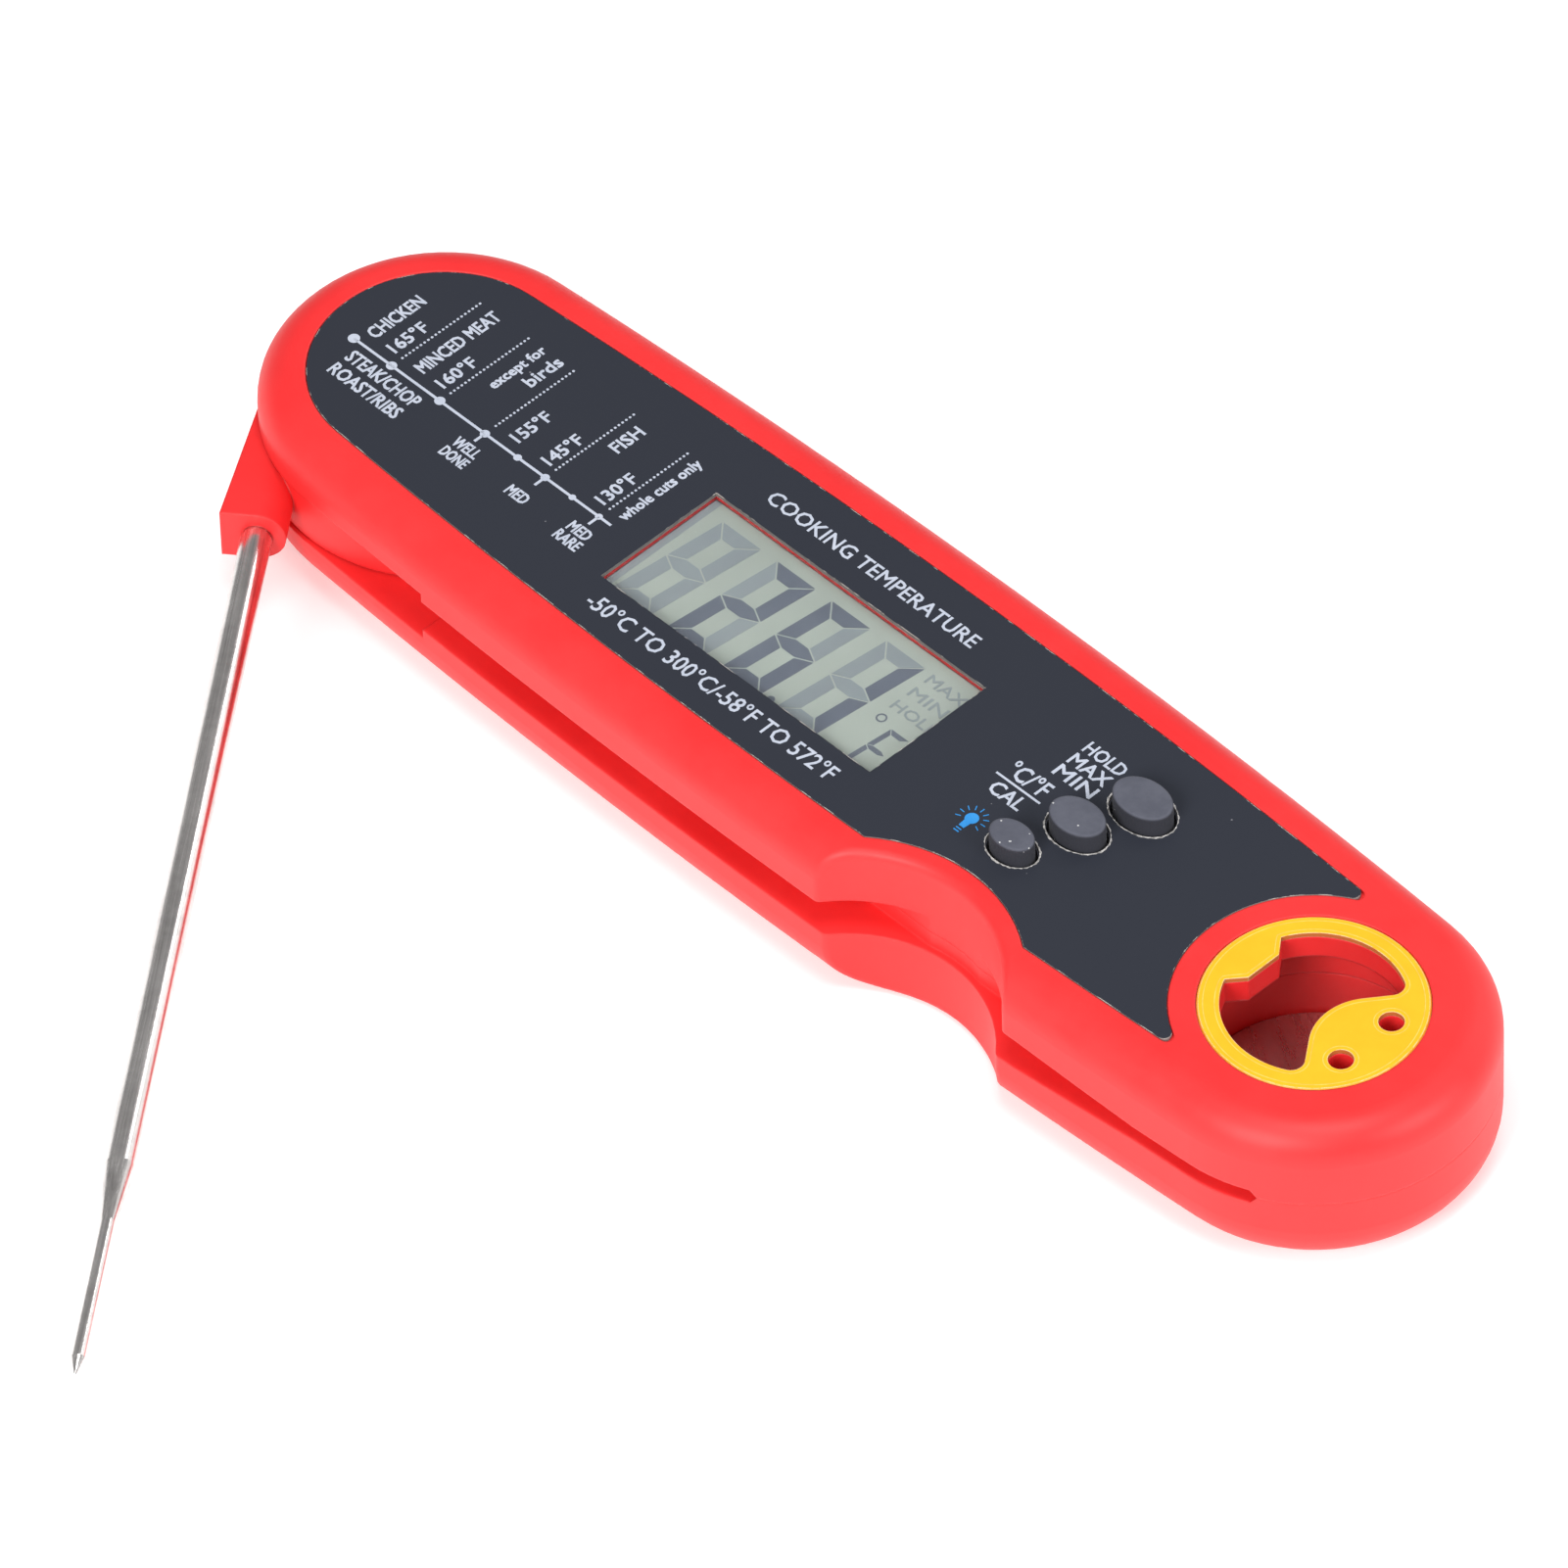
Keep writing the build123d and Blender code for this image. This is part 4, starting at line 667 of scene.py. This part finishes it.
bulbIcon = {
    "x": 21.5, "y": -6.4, "radius": 0.76, "shoulder": -55.0, "neck": 0.36, "neckEnd": -7.95, "rays": 9,
    "rayFrom": 1.2, "rayTo": 1.82, "rayWidth": 0.1, "firstRay": -25.0, "lastRay": 205.0,
    "base": (-8.3, -8.68), "baseHalf": 0.36, "baseWidth": 0.14, "count": 30,
}


def makeBulb():
    low, high = labelPrint["low"], labelPrint["high"]
    x, y, radius = bulbIcon["x"], bulbIcon["y"], bulbIcon["radius"]
    # glass outline: a circle from one shoulder round to the other, closed by the neck
    shoulder = math.radians(bulbIcon["shoulder"])
    turn = np.linspace(shoulder, math.pi - shoulder, bulbIcon["count"])
    glass = np.c_[x + radius * np.cos(turn), y + radius * np.sin(turn)]
    neck = [(x - bulbIcon["neck"], bulbIcon["neckEnd"]), (x + bulbIcon["neck"], bulbIcon["neckEnd"])]
    flats = [np.concatenate([glass, neck])]
    flats += [bar(x - bulbIcon["baseHalf"], row, x + bulbIcon["baseHalf"], row, bulbIcon["baseWidth"])
              for row in bulbIcon["base"]]
    for turn in np.radians(np.linspace(bulbIcon["firstRay"], bulbIcon["lastRay"], bulbIcon["rays"])):
        reach = np.array([bulbIcon["rayFrom"], bulbIcon["rayTo"]])
        ends = np.c_[x + reach * math.cos(turn), y + reach * math.sin(turn)]
        flats.append(bar(*ends[0], *ends[1], bulbIcon["rayWidth"]))
    return makePiece("bulbIcon", [prism(flat, low, high) for flat in flats], "blueInk", "case")


display = {
    "low": lcdTop / mm - 0.02, "high": lcdTop / mm + 0.02,
    "left": -29.45, "pitch": 8.12, "width": 5.9, "bottom": -9.05, "height": 15.0, "bar": 2.0, "gap": 0.17,
    "slant": 0.1, "lit": ("", "abged", "acdefg", "bc"),     # lit bars of each digit, in the usual a..g order
    "point": (-6.1, -8.35, 0.45), "degree": (3.95, -2.2, 0.42, 0.62),
    "edgeBand": (-30.3, -9.6, -30.3, 8.0, 1.1),
    "unit": (5.1, -9.26, 2.7, 6.7, 0.72, 0.1), "unitLit": "aefg",
    "words": (("MAX", 3.35, 8.75, 4.44), ("MIN", 3.35, 8.4, 1.94), ("HOLD", 3.35, 10.0, -0.56)),
    "wordHeight": 1.45,
}


def shrink(outline, by):
    # moves each edge of an anticlockwise outline inwards: corner = where two neighbouring moved edges meet
    edge = np.roll(outline, -1, 0) - outline
    inwards = np.stack([-edge[:, 1], edge[:, 0]], 1) / np.hypot(edge[:, 0], edge[:, 1])[:, None]
    reach = (inwards * outline).sum(1) + by
    sides = np.stack([np.roll(inwards, 1, 0), inwards], 1)
    return np.linalg.solve(sides, np.stack([np.roll(reach, 1), reach], 1)[..., None])[..., 0]


def sevenBars(left, bottom, width, height, thick, gap, slant, wanted):
    # the bars named in wanted: mitred at the corners, the middle one pointed; x grows by slant * y
    w, h, t, middle, half = width, height, thick, height / 2, thick / 2
    outlines = {
        "a": [(t, h - t), (w - t, h - t), (w, h), (0, h)],
        "b": [(w, middle), (w, h), (w - t, h - t), (w - t, middle + half)],
        "c": [(w, 0), (w, middle), (w - t, middle - half), (w - t, t)],
        "d": [(0, 0), (w, 0), (w - t, t), (t, t)],
        "e": [(0, 0), (t, t), (t, middle - half), (0, middle)],
        "f": [(0, middle), (t, middle + half), (t, h - t), (0, h)],
        "g": [(0, middle), (t, middle - half), (w - t, middle - half), (w, middle), (w - t, middle + half),
              (t, middle + half)],
    }
    lean = np.array([[1.0, 0.0], [slant, 1.0]])
    place = np.array([left, bottom])
    return [shrink(np.array(outlines[name], float), gap / 2) @ lean + place for name in wanted]


def makeDisplay():
    low, high, slant = display["low"], display["high"], display["slant"]
    lit, ghost = [], [bar(*display["edgeBand"])]
    for k, wanted in enumerate(display["lit"]):
        size = (display["left"] + k * display["pitch"], display["bottom"], display["width"], display["height"],
                display["bar"], display["gap"], slant)
        lit += sevenBars(*size, wanted)
        ghost += sevenBars(*size, [name for name in "abcdefg" if name not in wanted])
    lit.append(disc(*display["point"]))
    lit += sevenBars(*display["unit"], slant, display["unitLit"])
    litShapes = [prism(flat, low, high) for flat in lit] + [ringShape(*display["degree"], low, high)]
    ghostShapes = [prism(flat, low, high) for flat in ghost]
    for words, x0, x1, row in display["words"]:
        ghostShapes += textShape(words, x0, x1, row, row + display["wordHeight"], low, high, False, thin)
    makePiece("displayBars", litShapes, "segment", "case")
    makePiece("displayGhostBars", ghostShapes, "ghost", "case")


cutLips = {
    "width": 0.24, "height": 0.05, "sink": 0.01, "count": 120, "gap": 0.42, "flange": 0.7, "phaseStep": 1.7,
    "mean": 0.55, "waver": ((0.2, 3, 1), (0.16, 11, 2), (0.14, 29, 0)),     # share, waves round, times phase
}


def lipShape(x, y, halfLength, halfWidth, low, high, phase):
    # raised uneven lip round an oval: width = full width * (mean + sum of share * sin(waves * turn + phase))
    turn = np.linspace(0, 2 * math.pi, cutLips["count"], endpoint=False)[:, None]
    waver = cutLips["mean"] + sum(share * np.sin(waves * turn + times * phase)
                                  for share, waves, times in cutLips["waver"])
    width = cutLips["width"] * waver
    out = np.concatenate([np.zeros_like(turn), width, width, np.zeros_like(turn)], 1)
    height = np.broadcast_to(np.array([low, low, high, high]), out.shape)
    corners = np.stack([x + (halfLength + out) * np.cos(turn), y + (halfWidth + out) * np.sin(turn), height],
                       -1)
    return corners.reshape(-1, 3), ringFaces(cutLips["count"]).tolist()


def makeLips():
    # cut lip of the label round each button, sized from the button's own box
    shapes = []
    for k, name in enumerate(("button_light", "button_units", "button_hold")):
        low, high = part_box(name)
        centre = (low + high) / 2 / mm
        half = (high - low) / 2 / mm - Vector((cutLips["flange"], cutLips["flange"], 0))
        shapes.append(lipShape(centre.x, centre.y, half.x + cutLips["gap"], half.y + cutLips["gap"],
                               labelTop / mm - cutLips["sink"], labelTop / mm + cutLips["height"],
                               k * cutLips["phaseStep"]))
    return makePiece("buttonHoleLips", shapes, "lip", "case")


plateLines = {
    # a faint pressed line inside each border of the opener plate, in millimetres
    "inset": 0.42, "width": 0.11, "height": 0.012, "sink": 0.02, "step": 0.35, "fewest": 24,
    "merge": 0.001 * mm, "shortest": 8,     # corners nearer than merge are one; loops of so few are left out
}


def topLoops(node, merge):
    # border loops of the highest flat face of a CAD node, in millimetres, each walked with the face on its left
    shape = bmesh.new()
    shape.from_mesh(nodes[node].data)
    bmesh.ops.remove_doubles(shape, verts=shape.verts, dist=merge)
    top = max(vert.co.z for vert in shape.verts)
    flat = {face for face in shape.faces
            if face.normal.z > 0.99 and abs(face.calc_center_median().z - top) < merge * 5}
    after = {}
    for face in flat:
        for loop in face.loops:
            if loop.link_loop_radial_next.face not in flat:
                after[loop.vert.index] = loop.link_loop_next.vert.index
    places = {vert.index: (vert.co.x / mm, vert.co.y / mm) for vert in shape.verts}
    loops = []
    while after:
        start, here = next(iter(after.items()))
        walk = [start]
        del after[start]
        while here in after:
            walk.append(here)
            here = after.pop(here)
        loops.append(np.array([places[k] for k in walk]))
    shape.free()
    return loops, top / mm


def evenLoop(loop, step, fewest):
    # the same loop with points an equal distance apart: x and y interpolated over the length walked
    closed = np.concatenate([loop, loop[:1]])
    walked = np.concatenate([[0], np.hypot(*np.diff(closed, axis=0).T).cumsum()])
    at = np.linspace(0, walked[-1], max(fewest, int(walked[-1] / step)), endpoint=False)
    return np.stack([np.interp(at, walked, closed[:, 0]), np.interp(at, walked, closed[:, 1])], 1)


def ribbon(loop, inset, width, low, high):
    # square-edged line along a loop, moved to its left by inset; the left is the tangent turned a quarter turn
    tangent = np.roll(loop, -2, 0) - np.roll(loop, 2, 0)
    left = np.stack([-tangent[:, 1], tangent[:, 0]], 1) / np.hypot(tangent[:, 0], tangent[:, 1])[:, None]
    count = len(loop)
    near, far = loop + left * inset, loop + left * (inset + width)
    corners = np.stack([np.c_[near, np.full(count, low)], np.c_[near, np.full(count, high)],
                        np.c_[far, np.full(count, high)], np.c_[far, np.full(count, low)]], 1).reshape(-1, 3)
    return corners, ringFaces(count).tolist()


def makePlateLines():
    loops, top = topLoops("opener_plate", plateLines["merge"])
    low, high = top - plateLines["sink"], top + plateLines["height"]
    evened = [evenLoop(loop, plateLines["step"], plateLines["fewest"])
              for loop in loops if len(loop) > plateLines["shortest"]]
    lines = [ribbon(loop, plateLines["inset"], plateLines["width"], low, high) for loop in evened]
    print("plate lines:", len(lines))
    return makePiece("plateLines", lines, "pressed", "case")


makePrint()
makeBulb()
makeDisplay()
makeLips()
makePlateLines()
print("label and display printed")


# the pale floor that the object lies on

paleFloor = {"side": 6.0, "drop": 0.02 * mm, "glow": 0.3}


def makeFloor():
    half, z = paleFloor["side"] / 2, -paleFloor["drop"]
    mesh = bpy.data.meshes.new("floor")
    mesh.from_pydata([(-half, -half, z), (half, -half, z), (half, half, z), (-half, half, z)], [],
                     [(0, 1, 2, 3)])
    floor = bpy.data.objects.new("floor", mesh)
    bpy.context.scene.collection.objects.link(floor)
    mesh.materials.append(makePlain("paleFloor", linear(232, 232, 232), linear(235, 235, 235), 3.0, (0.7, 0.8),
                                    0.01, Emission_Color=(1, 1, 1, 1), Emission_Strength=paleFloor["glow"]))


makeFloor()
